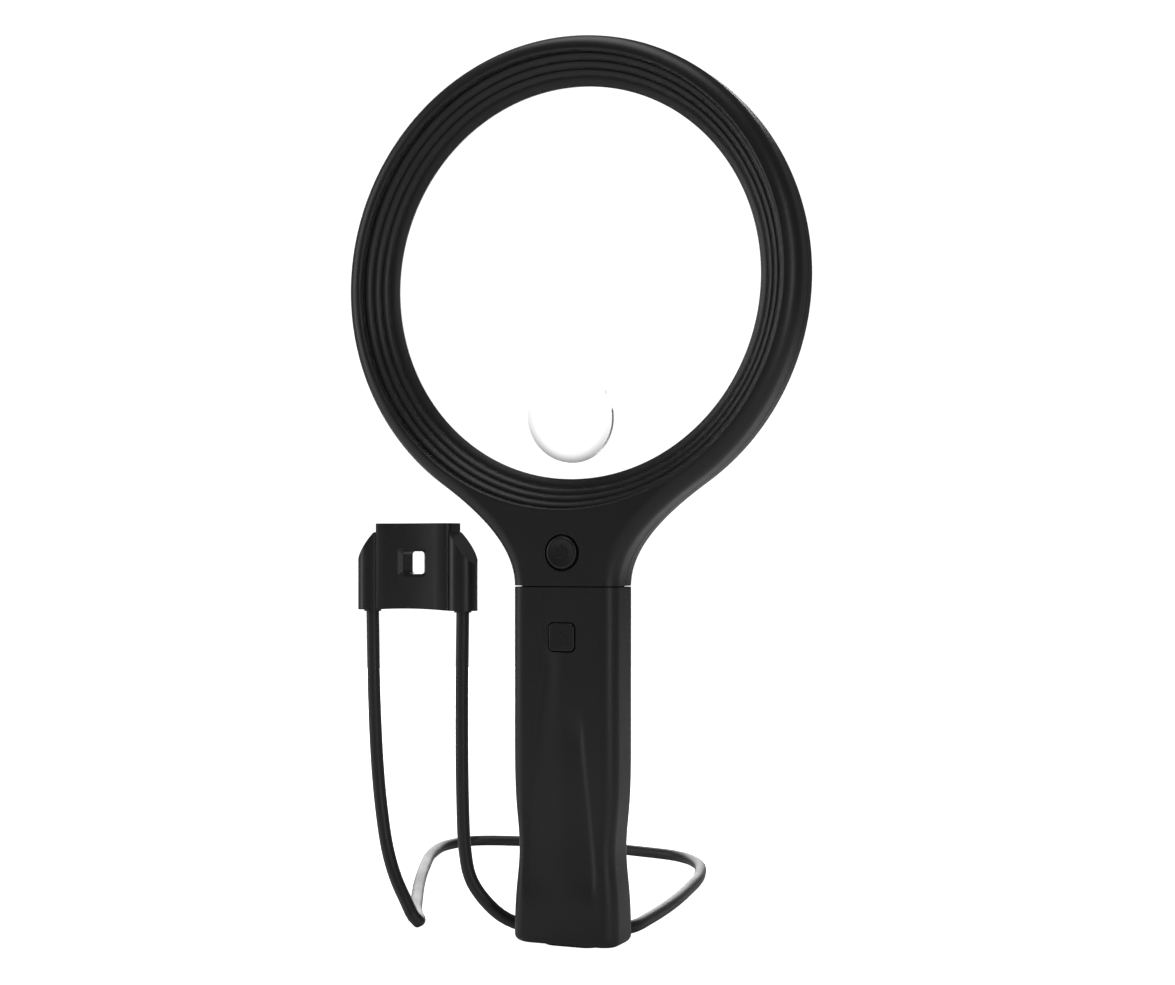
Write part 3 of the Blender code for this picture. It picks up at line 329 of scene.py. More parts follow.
    def finish(self, finish: "Finish", body: str, stands_for: Iterable[str] = (),
               angle: float = 35.0) -> bpy.types.Object:
        """Smooth the piece, give it its finish and let it ride on its body.

        Args:
            finish: The piece's finish.
            body: The CAD body that it moves with.
            stands_for: The CAD nodes that it replaces.
            angle: Edges sharper than this stay sharp, in degrees.

        Returns:
            The finished object.
        """
        activate(self.obj)
        bpy.ops.object.shade_smooth_by_angle(angle=math.radians(angle))
        self.modify("WEIGHTED_NORMAL", keep_sharp=True)
        paint(self.obj, finish)
        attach(self.obj, body)
        if stands_for:
            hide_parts(*stands_for)
        LOG.info("%s: %d faces, rides on %s", self.obj.name, len(self.obj.data.polygons), body)
        return self.obj


def arc(centre: tuple[float, float], radius: float, start: float, end: float,
        count: int) -> list[tuple[float, float]]:
    """Points along an arc.

    Args:
        centre: The arc's centre.
        radius: Its radius.
        start: Its first angle, in degrees.
        end: Its last angle, in degrees.
        count: The number of steps.

    Returns:
        Pairs of coordinates, one more than the steps.
    """
    angles = [math.radians(start + (end - start) * i / count) for i in range(count + 1)]
    return [(centre[0] + radius * math.cos(a), centre[1] + radius * math.sin(a)) for a in angles]


def bezier(a: Vector, b: Vector, c: Vector, d: Vector, count: int) -> list[Vector]:
    """Points along a cubic curve, without its first."""
    out = []
    for i in range(1, count + 1):
        t = i / count
        s = 1 - t
        out.append(a * s ** 3 + b * 3 * s * s * t + c * 3 * s * t * t + d * t ** 3)
    return out


def rounded_box(half_w: float, half_h: float, radius: float, count: int = 6) -> list:
    """Corners-rounded rectangle about the origin, as pairs, counter-clockwise from the right."""
    x, y = half_w - radius, half_h - radius
    return (arc((x, y), radius, 0, 90, count) + arc((-x, y), radius, 90, 180, count)
            + arc((-x, -y), radius, 180, 270, count) + arc((x, -y), radius, 270, 360, count))


def level(pairs: Iterable[tuple[float, float]], z: float) -> list[Vector]:
    """Pairs of X and Y as points at one height."""
    return [Vector((x, y, z)) for x, y in pairs]


def upright(pairs: Iterable[tuple[float, float]], y: float, lift: float = 0.0) -> list[Vector]:
    """Pairs of X and Z as points of an upright plane, lifted by a height."""
    return [Vector((x, y, lift + z)) for x, z in pairs]


# ------------------------------------------------------------------ finishes

def linear(colour: str) -> tuple[float, float, float, float]:
    """A hex sRGB colour as linear RGBA.

    Args:
        colour: Six hex digits after a #.

    Returns:
        Four numbers from 0 to 1.
    """
    channels = [int(colour[i:i + 2], 16) / 255 for i in (1, 3, 5)]
    curve = [c / 12.92 if c <= 0.04045 else ((c + 0.055) / 1.055) ** 2.4 for c in channels]
    return (*curve, 1.0)


class Shader:
    """The node tree of one material, with a Principled shader to start from."""

    def __init__(self, name: str) -> None:
        """Make the material and find its shader."""
        self.material = bpy.data.materials.new(name)
        self.material.use_nodes = True
        self.tree = self.material.node_tree
        self.surface = self.tree.nodes["Principled BSDF"]
        self.place = self.node("ShaderNodeTexCoord").outputs["Object"]

    def node(self, kind: str, inputs: dict | None = None, **settings: object) -> bpy.types.Node:
        """Add a node with its settings and links.

        Args:
            kind: The node's type.
            inputs: Input name or number to the socket that feeds it, or to its value.
            **settings: Node attributes, or input values where the name is an input's.

        Returns:
            The new node.
        """
        node = self.tree.nodes.new(kind)
        for key, value in settings.items():
            if hasattr(node, key):
                setattr(node, key, value)
            else:
                node.inputs[key.replace("_", " ")].default_value = value
        for key, value in (inputs or {}).items():
            if isinstance(value, bpy.types.NodeSocket):
                self.tree.links.new(value, node.inputs[key])
            else:
                node.inputs[key].default_value = value
        return node

    def maths(self, operation: str, first: object, second: object = 0.5) -> bpy.types.NodeSocket:
        """The result of a sum on two sockets or numbers."""
        return self.node("ShaderNodeMath", {0: first, 1: second}, operation=operation).outputs[0]

    def blend(self, factor: object, low: object, high: object) -> bpy.types.NodeSocket:
        """A colour between two, each a socket or linear RGBA."""
        return self.node("ShaderNodeMix", {"Factor": factor, "A": low, "B": high},
                         data_type="RGBA").outputs["Result"]

    def noise(self, size: float, detail: float, roughness: float = 0.5,
              place: bpy.types.NodeSocket | None = None) -> bpy.types.NodeSocket:
        """Noise with features of a size in metres."""
        return self.node("ShaderNodeTexNoise", {"Vector": place or self.place}, Scale=1 / size,
                         Detail=detail, Roughness=roughness).outputs["Fac"]

    def ranged(self, value: object, low: float, high: float, start: float = 0.0,
               end: float = 1.0, smooth: bool = False) -> bpy.types.NodeSocket:
        """A value that runs from start to end, made to run from low to high."""
        return self.node("ShaderNodeMapRange", {
            "Value": value, "From Min": start, "From Max": end, "To Min": low, "To Max": high},
            interpolation_type="SMOOTHSTEP" if smooth else "LINEAR").outputs["Result"]

    def bump(self, height: bpy.types.NodeSocket, distance: float) -> None:
        """Raise the surface by a height from 0 to 1, in shading only."""
        bump = self.node("ShaderNodeBump", {"Height": height}, Distance=distance)
        self.feed("Normal", bump.outputs["Normal"])

    def fed(self, name: str) -> bpy.types.NodeSocket:
        """The socket that feeds one of the surface's inputs."""
        return self.surface.inputs[name].links[0].from_socket

    def set(self, **values: object) -> None:
        """Set constants on the surface's own sockets."""
        for key, value in values.items():
            self.surface.inputs[key.replace("_", " ")].default_value = value

    def feed(self, name: str, socket: bpy.types.NodeSocket) -> None:
        """Link a socket to one of the surface's inputs."""
        self.tree.links.new(socket, self.surface.inputs[name])


@dataclass(frozen=True)
class Finish:
    """What a surface is made of and how it was made.

    Attributes:
        name: The material's name.
        slot: The record's material slot it belongs to; not used.
        colour: Its colour in sRGB hex.
        shade: A second colour that the first one drifts to, in sRGB hex.
        roughness: The lowest roughness.
        spread: How much rougher the dullest places are.
        grain: Size of the fine texture, in metres.
        relief: Height of the fine texture, in metres.
    """

    name: str
    slot: str
    colour: str
    shade: str
    roughness: float
    spread: float
    grain: float
    relief: float

    def material(self) -> bpy.types.Material:
        """The Blender material, made the first time it is asked for."""
        found = bpy.data.materials.get(self.name)
        if found is not None:
            return found
        shader = Shader(self.name)
        self.build(shader)
        return shader.material

    def build(self, shader: Shader) -> None:
        """Lay out the nodes that all finishes share: drift of colour, dullness and grain."""
        drift = shader.noise(DRIFT, 3.0, 0.55)
        grain = shader.noise(self.grain, 2.0, 0.6)
        shader.feed("Base Color", shader.blend(drift, linear(self.colour), linear(self.shade)))
        shader.feed("Roughness", shader.ranged(
            shader.maths("MULTIPLY", drift, grain), self.roughness,
            self.roughness + self.spread, 0.12, 0.42))
        shader.bump(grain, self.relief)


@dataclass(frozen=True)
class MouldedPlastic(Finish):
    """Injection-moulded ABS from a spark-eroded tool: satin, with a fine even grain.

    Attributes:
        ior: Its refractive index.
    """

    ior: float = 1.49

    def build(self, shader: Shader) -> None:
        """Add the plastic's refractive index to the shared layout."""
        super().build(shader)
        shader.set(IOR=self.ior)


@dataclass(frozen=True)
class SoftRubber(Finish):
    """Extruded rubber over the bendable wire: duller than the mouldings, with a faint bloom."""

    def build(self, shader: Shader) -> None:
        """Add a thin dusty sheen."""
        super().build(shader)
        shader.set(IOR=1.52, Sheen_Weight=0.04, Sheen_Roughness=0.5)


@dataclass(frozen=True)
class ClearAcrylic(Finish):
    """Cast acrylic, polished: clear, with the faintest haze from handling."""

    def build(self, shader: Shader) -> None:
        """Let light through, with a haze that varies over some centimetres."""
        shader.feed("Roughness", shader.ranged(shader.noise(self.grain, 4.0), self.roughness,
                                               self.roughness + self.spread))
        shader.set(Base_Color=linear(self.colour), IOR=1.491, Transmission_Weight=1.0)


@dataclass(frozen=True)
class StepLensPaintedShadeAcrylic(ClearAcrylic):
    """The same acrylic, with shade painted for the light that the stronger insert's edge bends
    away.

    Attributes:
        middle: The insert's middle, as X and Z.
        radius: The insert's radius.
        band: How far the painted shade reaches inwards.
        lowest: Direction in which the painted shade is deepest, as X and Z.
    """

    middle: tuple[float, float] = (0.0, 0.0)
    radius: float = INSERT_RADIUS
    band: float = 4.2 * MM
    lowest: tuple[float, float] = (-0.20, -0.98)

    def build(self, shader: Shader) -> None:
        """Paint shade into the colour of the band inside the insert's edge, deepest at the bottom.
        """
        super().build(shader)
        parts = shader.node("ShaderNodeSeparateXYZ", {"Vector": shader.place})
        x, y, z = (parts.outputs[i] for i in range(3))
        maths = shader.maths
        across = maths("SUBTRACT", x, self.middle[0])
        up = maths("SUBTRACT", z, self.middle[1])
        out = maths("SQRT", maths("ADD", maths("MULTIPLY", across, across),
                                  maths("MULTIPLY", up, up)))
        low = maths("ADD", maths("MULTIPLY", across, self.lowest[0]),
                    maths("MULTIPLY", up, self.lowest[1]))
        side = shader.ranged(maths("DIVIDE", low, self.radius), 0.0, 1.0, -0.5, 1.0, True)
        band = shader.ranged(out, 0.0, 1.0, self.radius - self.band, self.radius, True)
        inside = maths("LESS_THAN", out, self.radius + 0.05 * MM)
        front = maths("LESS_THAN", y, 2.0 * MM)
        # painted shade: grey mixed into the base colour inside the insert's edge, deepest at the
        # bottom
        grey = maths("MULTIPLY", maths("MULTIPLY", band, side),
                     maths("MULTIPLY", inside, front))
        shader.feed("Base Color", shader.blend(grey, linear(self.colour), linear(self.shade)))


@dataclass(frozen=True)
class FrostedAcrylic(Finish):
    """Opal acrylic with fine radial ribs that spread the light of the separate lamps.

    Attributes:
        rib: Distance between the ribs, in metres.
        centre: The middle of the light ring.
        radius: Its middle radius, in metres.
    """

    rib: float = 1.2 * MM
    centre: tuple[float, float, float] = (0.0, 0.0, 0.0)
    radius: float = 70 * MM

    def build(self, shader: Shader) -> None:
        """Ribs from the angle round the lens axis, over the shared layout."""
        super().build(shader)
        moved = shader.node("ShaderNodeVectorMath", {0: shader.place, 1: self.centre},
                            operation="SUBTRACT")
        axes = shader.node("ShaderNodeSeparateXYZ", {0: moved.outputs[0]}).outputs
        angle = shader.maths("ARCTAN2", axes["X"], axes["Z"])
        turns = shader.maths("MULTIPLY", angle, float(round(math.tau * self.radius / self.rib)))
        shader.bump(shader.maths("SINE", turns), 0.12 * MM)
        shader.set(IOR=1.49, Transmission_Weight=0.35, Subsurface_Weight=0.0)


@dataclass(frozen=True)
class Metal(Finish):
    """Drawn or plated metal: bright, with fine lines along the way it was drawn.

    Attributes:
        stretch: How many times longer than wide the drawn lines are along Z.
    """

    stretch: float = 12.0

    def build(self, shader: Shader) -> None:
        """Fine lines in the roughness and the relief."""
        long = shader.node("ShaderNodeMapping", {"Vector": shader.place,
                                                 "Scale": (1.0, 1.0, 1.0 / self.stretch)})
        lines = shader.noise(self.grain, 3.0, place=long.outputs["Vector"])
        shader.feed("Base Color", shader.blend(lines, linear(self.colour), linear(self.shade)))
        shader.feed("Roughness", shader.ranged(lines, self.roughness,
                                               self.roughness + self.spread))
        shader.bump(lines, self.relief)
        shader.set(Metallic=1.0)


@dataclass(frozen=True)
class BandedFinish(Finish):
    """A surface whose colour changes at given heights along one axis, as on a wrapped cell.

    Attributes:
        axis: X, Y or Z.
        bands: Pairs of a height in metres and the colour above it, from the lowest up.
        metal_from: Height above which the surface is bare metal, or None for no metal.
        metal_to: Height below which it is bare metal too.
    """

    axis: str = "Z"
    bands: tuple[tuple[float, str], ...] = ()
    metal_from: float | None = None
    metal_to: float = 0.0

    def build(self, shader: Shader) -> None:
        """Stack the bands over the shared layout."""
        super().build(shader)
        height = shader.node("ShaderNodeSeparateXYZ", {0: shader.place}).outputs[self.axis]
        colour = shader.fed("Base Color")
        for start, paint in self.bands:
            colour = shader.blend(shader.maths("GREATER_THAN", height, start), colour,
                                  linear(paint))
        shader.feed("Base Color", colour)
        if self.metal_from is not None:
            above = shader.maths("GREATER_THAN", height, self.metal_from)
            below = shader.maths("LESS_THAN", height, self.metal_to)
            shader.feed("Metallic", shader.maths("ADD", above, below))


@dataclass(frozen=True)
class SolderMask(Finish):
    """Green lacquer over a laminate board, with copper tracks that show as paler lines.

    Attributes:
        track: Distance between the tracks, in metres.
        copper: Colour of the lacquer over a track.
    """

    track: float = 1.6 * MM
    copper: str = "#5E8F4A"

    def build(self, shader: Shader) -> None:
        """Tracks as the joints of a brick pattern, over the shared layout."""
        super().build(shader)
        turned = shader.node("ShaderNodeMapping", {"Vector": shader.place,
                                                   "Rotation": (math.pi / 2, 0.0, 0.0)})
        tracks = shader.node("ShaderNodeTexBrick", {
            "Vector": turned.outputs["Vector"], "Scale": 1.0, "Brick Width": self.track * 4,
            "Row Height": self.track, "Mortar Size": self.track * 0.16})
        shader.feed("Base Color", shader.blend(tracks.outputs["Fac"], shader.fed("Base Color"),
                                               linear(self.copper)))


# Satin black ABS: near black, soft wide highlights, a grain that only breaks their edges up
SHELL_ABS = MouldedPlastic("satin_black_moulded_abs", "shell_plastic", "#19191A", "#1E1E1F",
                           0.36, 0.10, 0.45 * MM, 0.010 * MM)
# The same ABS on the sleeve, slightly duller from a coarser tool
SLEEVE_ABS = MouldedPlastic("satin_black_sleeve_abs", "sleeve_plastic", "#18181A", "#1D1D1F",
                            0.38, 0.10, 0.50 * MM, 0.010 * MM)
# The buttons' ABS, a little darker, so that the caps read against their holes
BUTTON_ABS = MouldedPlastic("black_button_abs", "button_plastic", "#171718", "#1B1B1C",
                            0.34, 0.08, 0.40 * MM, 0.006 * MM)
# Moulded symbols, polished a little smoother than the caps so that they catch the light
SYMBOL_ABS = MouldedPlastic("polished_symbol_abs", "button_plastic", "#1C1C1D", "#212122",
                            0.24, 0.05, 0.40 * MM, 0.004 * MM)
# The bracket's ABS: the same black with broader, softer bands of light
BRACKET_ABS = MouldedPlastic("satin_black_bracket_abs", "bracket_plastic", "#1A1A1B", "#1F1F20",
                             0.34, 0.10, 0.45 * MM, 0.010 * MM)
# Inner mouldings left as they come from the tool: dark grey and matt
INNER_ABS = MouldedPlastic("matt_grey_inner_abs", "inner_plastic", "#2E2F31", "#37383A",
                           0.50, 0.14, 0.60 * MM, 0.015 * MM)
# Rubber of the bendable wire: dull black with a soft line of light along it
WIRE_RUBBER = SoftRubber("extruded_black_rubber", "wire_rubber", "#1A1A1B", "#202021",
                         0.42, 0.12, 0.60 * MM, 0.012 * MM)
# Polished acrylic of the lens: it shows only as a soft grey crescent of painted shade at the
# insert's edge
LENS_ACRYLIC = StepLensPaintedShadeAcrylic("polished_clear_acrylic", "clear_acrylic", WHITE, "#565858",
                               0.0, 0.012, 18 * MM, 0.0,
                               middle=(0.0, middle("main_lens").z - INSERT_DROP))
BRIGHT_STEEL = Metal("drawn_bright_steel", "steel", "#B9BABC", "#A9ABAE", 0.24, 0.16,
                     0.35 * MM, 0.004 * MM)
NICKEL = Metal("nickel_plated_brass", "nickel_plate", "#C9C4B8", "#BDB6A6", 0.18, 0.12,
               0.50 * MM, 0.003 * MM)
BOARD = SolderMask("green_solder_mask", "board_laminate", "#1D5B33", "#246A3C", 0.30, 0.12,
                   0.8 * MM, 0.01 * MM)
RED_PVC = Finish("red_pvc_insulation", "lead_insulation", "#A0201C", "#8E1B18", 0.35, 0.12,
                 0.9 * MM, 0.01 * MM)
BLACK_PVC = Finish("black_pvc_insulation", "lead_insulation", "#1C1C1D", "#262627", 0.35, 0.12,
                   0.9 * MM, 0.01 * MM)


# ------------------------------------------------------------------ the lens head

@dataclass
class LensHead:
    """The ring with its lens, the neck below it, and what is fixed in them.

    Attributes:
        round_front: Radius of the front edge all round the head.
        round_back: Radius of the ring's back edge.
        wall: Wall thickness of the neck.
        rim_round: Radius of the rim between the front face and the funnel.
        rim_inset: How far the funnel's rim lies inside the ring's outer edge.
        funnel_depth: How far the top of the funnel lies in front of the lip.
        grooves: Number of grooves in the funnel.
        groove_pitch: Distance between the grooves, across the lens axis.
        groove_depth: Depth of a groove.
        flare: Angle round the ring, from level, where the neck's flare meets it, in degrees.
        neck_pull: How far the neck's side runs straight on above the seam.
        flare_pull: How far its flare hugs the ring.
        dome_front: How far the lens bulges to the front.
        dome_back: How far it bulges to the back.
        insert_rise: How far the insert stands out of the lens.
    """

    round_front: float = 5.0 * MM
    round_back: float = 6.0 * MM
    wall: float = 2.0 * MM
    rim_round: float = 1.3 * MM
    rim_inset: float = 5.8 * MM
    funnel_depth: float = 7.3 * MM
    grooves: int = 4
    groove_pitch: float = 2.33 * MM
    groove_depth: float = 0.6 * MM
    flare: float = -55.5
    neck_pull: float = 13.5 * MM
    flare_pull: float = 15.5 * MM
    dome_front: float = 6.2 * MM
    dome_back: float = 3.4 * MM
    insert_rise: float = 1.3 * MM

    def __post_init__(self) -> None:
        """Take the head's places from the CAD nodes."""
        self.centre = middle("main_lens")
        self.on_axis = Vector((0, 0, self.centre.z))
        self.axis = Vector((0, -1, 0))
        low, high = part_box("front_shell")
        self.ring_radius = (high.x - low.x) / 2
        self.front = low.y
        self.seam = low.z
        self.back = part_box("handle_sleeve")[1].y
        self.lens_radius = span("main_lens").x / 2
        self.aperture = self.lens_radius - 3.5 * MM
        sleeve_low, sleeve_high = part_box("handle_sleeve")
        self.half = (sleeve_high.x - sleeve_low.x) / 2
        self.rim = self.ring_radius - self.rim_inset
        self.window = span("light_diffuser").x / 2 - 1.0 * MM

    def outline(self, bottom: float, depth: float) -> list[Vector]:
        """Points round the neck and the ring.

        Args:
            bottom: Height where the neck's sides end.
            depth: The outline's place along Y.

        Returns:
            The outline, from the lower right corner round the ring to the lower left one.
        """
        def at(x: float, z: float) -> Vector:
            return Vector((x, depth, z))

        angle = math.radians(self.flare)
        meet = at(self.ring_radius * math.cos(angle),
                  self.centre.z + self.ring_radius * math.sin(angle))
        along = Vector((-math.sin(angle), 0, math.cos(angle)))
        start = at(self.half, self.seam)
        side = [at(self.half, bottom), start]
        side += bezier(start, at(self.half, self.seam + self.neck_pull),
                       meet - along * self.flare_pull, meet, 24)
        ring = [at(x, z) for x, z in arc((0, self.centre.z), self.ring_radius, self.flare,
                                         180 - self.flare, 200)]
        other = [Vector((-p.x, p.y, p.z)) for p in reversed(side)]
        return side + ring[1:-1] + other

    def funnel(self) -> list[tuple[float, float]]:
        """Radius and height, towards the front, down the grooved funnel from its rim."""
        face = -self.front
        lip = 0.3 * MM
        top = lip + self.funnel_depth
        slope = self.funnel_depth / (self.rim - self.aperture)
        outer = self.rim + self.rim_round
        points = arc((outer, face - self.rim_round), self.rim_round, 90, 170, 8)
        points.append((self.rim, top + 0.3 * MM))
        radius = self.rim
        for _ in range(self.grooves - 1):
            points += self.rib(radius, slope, lip, 8)
            radius -= self.groove_pitch
        for t in (i / 8 for i in range(9)):
            r = radius + (self.aperture - radius) * t
            bulge = self.groove_depth * (1 - (1 - t) ** 3) - self.groove_depth
            points.append((r, lip + (r - self.aperture) * slope + bulge))
        return points

    def rib(self, outer: float, slope: float, lip: float, count: int) -> list:
        """One rounded rib between two grooves, from its outer groove inwards."""
        points = []
        for i in range(count):
            t = i / count
            r = outer - self.groove_pitch * t
            bulge = self.groove_depth * (math.sin(math.pi * t) ** 0.6 - 1)
            points.append((r, lip + (r - self.aperture) * slope + bulge))
        return points

    def build(self) -> None:
        """Make every piece of the head."""
        self.front_shell()
        self.rear_shell()
        self.lens()
        self.light_ring()
        self.screws()

    def front_shell(self) -> None:
        """The front half: ring and neck in one, with the grooved funnel round the lens."""
        below = self.seam - 10 * MM
        parting = -0.15 * MM
        shell = Piece.prism("front_shell_fine", self.outline(below, self.front),
                            Vector((0, parting - self.front, 0)))
        shell.round_edges(lambda p: abs(p.y - self.front) < TOUCH, self.round_front, 10)
        shell.trim((0, 0, self.seam), (0, 0, -1))
        funnel = self.funnel()
        tool = [(0, -self.front + 3 * MM), (funnel[0][0], -self.front + 3 * MM)] + funnel
        tool += [(self.aperture, -3 * MM), (0, -3 * MM)]
        shell.meet(Piece.turned("funnel_tool", tool, self.on_axis, self.axis, 240, False))
        lip, edge = self.aperture, self.lens_radius
        seat = [(lip + 0.05 * MM, 0.22 * MM), (lip + 0.05 * MM, -0.35 * MM),
                (edge + 0.35 * MM, -0.35 * MM), (edge + 0.35 * MM, -3.0 * MM),
                (edge + 1.35 * MM, -3.0 * MM), (edge + 1.35 * MM, -0.7 * MM),
                (edge + 2.9 * MM, -0.7 * MM), (edge + 2.9 * MM, 0.6 * MM),
                (lip + 1.3 * MM, 0.6 * MM)]
        shell.meet(Piece.turned("lens_seat", seat, self.on_axis, self.axis, 240), Join.ADD)
        room = Piece.block("neck_room", (self.wall - self.half, self.front + self.wall, below),
                           (self.half - self.wall, 5 * MM, self.centre.z - self.rim - 3 * MM))
        room.round_edges(lambda p: abs(p.x) > self.half - self.wall - 0.1 * MM, 1.5 * MM, 4)
        shell.meet(room)
        hole = middle("power_button_cap")
        radius = span("power_button_cap").x / 2 - 0.8 * MM
        edge = arc((radius + 0.35 * MM, -self.front - 0.35 * MM), 0.35 * MM, 90, 180, 5)
        hole_tool = [(0, -self.front + 2 * MM), (edge[0][0], -self.front + 2 * MM)] + edge
        hole_tool += [(radius, -self.front - 4 * MM), (0, -self.front - 4 * MM)]
        shell.meet(Piece.turned("button_hole", hole_tool, Vector((0, 0, hole.z)), self.axis, 72,
                                False))
        shell.finish(SHELL_ABS, "head", ["front_shell"], 32)

    def rear_shell(self) -> None:
        """The back half, with the hook and the screw holes."""
        below = self.seam - 10 * MM
        parting = 0.15 * MM
        shell = Piece.prism("rear_shell_fine", self.outline(below, -12 * MM),
                            Vector((0, self.back + 12 * MM, 0)))
        shell.round_edges(lambda p: abs(p.y - self.back) < TOUCH, self.round_back, 12)
        shell.trim((0, parting, 0), (0, -1, 0))
        shell.trim((0, 0, self.seam), (0, 0, -1))
        room = Piece.block("neck_room_back", (self.wall - self.half, -5 * MM, below),
                           (self.half - self.wall, self.back - self.wall,
                            self.centre.z - self.rim - 3 * MM))
        room.round_edges(lambda p: p.y > self.back - self.wall - TOUCH, 4 * MM, 6)
        shell.meet(room)
        r, back = self.window, -self.back
        edge = arc((r + 0.8 * MM, back + 0.8 * MM), 0.8 * MM, 180, 270, 5)
        tool = [(0, 5 * MM), (r, 5 * MM)] + edge + [(edge[-1][0], back - 5 * MM),
                                                  (0, back - 5 * MM)]
        shell.meet(Piece.turned("window_tool", tool, self.on_axis, self.axis, 240, False))
        for i in range(1, 5):
            at = middle(f"shell_screw_{i}")
            low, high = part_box(f"shell_screw_{i}")
            r = (high.x - low.x) / 2 + 0.3 * MM
            sink = -2.0 * MM
            bore = [(0, 2 * MM), (1.45 * MM, 2 * MM), (1.45 * MM, sink), (r, sink),
                    (r, -self.back + 0.2 * MM), (r + 0.4 * MM, -self.back - 0.2 * MM),
                    (r + 0.4 * MM, -20 * MM), (0, -20 * MM)]
            shell.meet(Piece.turned(f"counterbore_{i}", bore, Vector((at.x, 0, at.z)),
                                    self.axis, 40, False))
        shell.meet(self.hook(), Join.ADD)
        shell.finish(SHELL_ABS, "head", ["rear_shell"], 32)

    def hook(self) -> Piece:
        """The hook that the stand's slot drops over: a stem with an upright tip."""
        place, _ = mount("stand_hook")
        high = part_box("rear_shell")[1]
        half, thick = 3.6 * MM, 2.6 * MM
        stem = Piece.block("hook", (-half, self.back - 1.4 * MM, place.z - thick),
                           (half, high.y, place.z))
        front = high.y - thick
        stem.pick(lambda p: p.z > place.z - TOUCH, "FACE")
        bpy.ops.mesh.bisect(plane_co=(0, front, 0), plane_no=(0, 1, 0))
        bpy.ops.object.mode_set(mode="OBJECT")
        stem.pick(lambda p: p.z > place.z - TOUCH and p.y > front - TOUCH, "FACE")
        rise = 4.4 * MM
        bpy.ops.mesh.extrude_region_move(TRANSFORM_OT_translate={"value": (0, 0, rise)})
        bpy.ops.object.mode_set(mode="OBJECT")
        stem.outwards()
        return stem.round_edges(lambda p: p.y > self.back, 0.55 * MM, 3)

    def lens(self) -> None:
        """The clear lens with its flange and the stronger insert standing out of its front."""
        front_y = -0.65 * MM
        edge = 2.75 * MM
        edge_radius, sag = self.aperture - 0.3 * MM, self.dome_front
        dome = self.dome(edge_radius, sag, 28)
        back = self.dome(self.lens_radius - 1.3 * MM, self.dome_back, 20)
        profile = [(r, front_y + h) for r, h in dome]
        profile += [(self.lens_radius, front_y), (self.lens_radius, front_y - edge)]
        profile += [(r, front_y - edge - h) for r, h in reversed(back)]
        lens = Piece.turned("main_lens_fine", profile, self.on_axis, self.axis, 160, False)
        big = (edge_radius ** 2 + sag ** 2) / (2 * sag)
        tilt = math.asin(INSERT_DROP / big)
        depth = math.sqrt(big ** 2 - INSERT_DROP ** 2) - (big - sag)
        r, rise = INSERT_RADIUS, self.insert_rise
        bump = [(r * i / 12, rise + 1.2 * MM * (1 - (i / 12) ** 2)) for i in range(11)]
        bump += arc((r - 0.5 * MM, rise - 0.3 * MM), 0.5 * MM, 80, 0, 5)
        bump += [(r, -0.8 * MM), (0, -0.8 * MM)]
        axis = Vector((0, -math.cos(tilt), -math.sin(tilt)))
        place = Vector((0, -front_y - depth, self.centre.z - INSERT_DROP))
        lens.meet(Piece.turned("insert", bump, place, axis, 120, False), Join.ADD)
        lens.finish(LENS_ACRYLIC, "head", ["main_lens"], 30)

    @staticmethod
    def dome(radius: float, sag: float, count: int) -> list[tuple[float, float]]:
        """Radius and height from the middle to the edge of a shallow dome."""
        big = (radius ** 2 + sag ** 2) / (2 * sag)
        radii = [radius * i / count for i in range(count + 1)]
        return [(r, math.sqrt(big ** 2 - r ** 2) - (big - sag)) for r in radii]

    def light_ring(self) -> None:
        """The ribbed diffuser in the window of the back."""
        low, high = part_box("light_diffuser")
        front, back = -low.y, -high.y
        outer = self.window - 0.3 * MM
        inner = self.lens_radius - 1.1 * MM
        profile = [(inner, front), (self.window + MM, front), (self.window + MM, front - 0.9 * MM),
                   (outer, front - MM)]
        profile += arc((outer - 0.7 * MM, back + 0.7 * MM), 0.7 * MM, 0, -90, 5)
        profile += [((outer + inner) / 2 + MM, back + 0.12 * MM)]
        profile += arc((self.aperture + 4.6 * MM, back + 0.7 * MM), 0.7 * MM, -90, -170, 5)
        profile += [(inner, front - 1.2 * MM)]
        ring = Piece.turned("light_diffuser_fine", profile, self.on_axis, self.axis, 200)
        opal = FrostedAcrylic("opal_ribbed_acrylic", "frosted_acrylic", "#DDE0E0", "#E6E8E8",
                              0.40, 0.15, 0.5 * MM, 0.02 * MM, centre=tuple(self.centre),
                              radius=(outer + inner) / 2)
        ring.finish(opal, "head", ["light_diffuser"], 30)

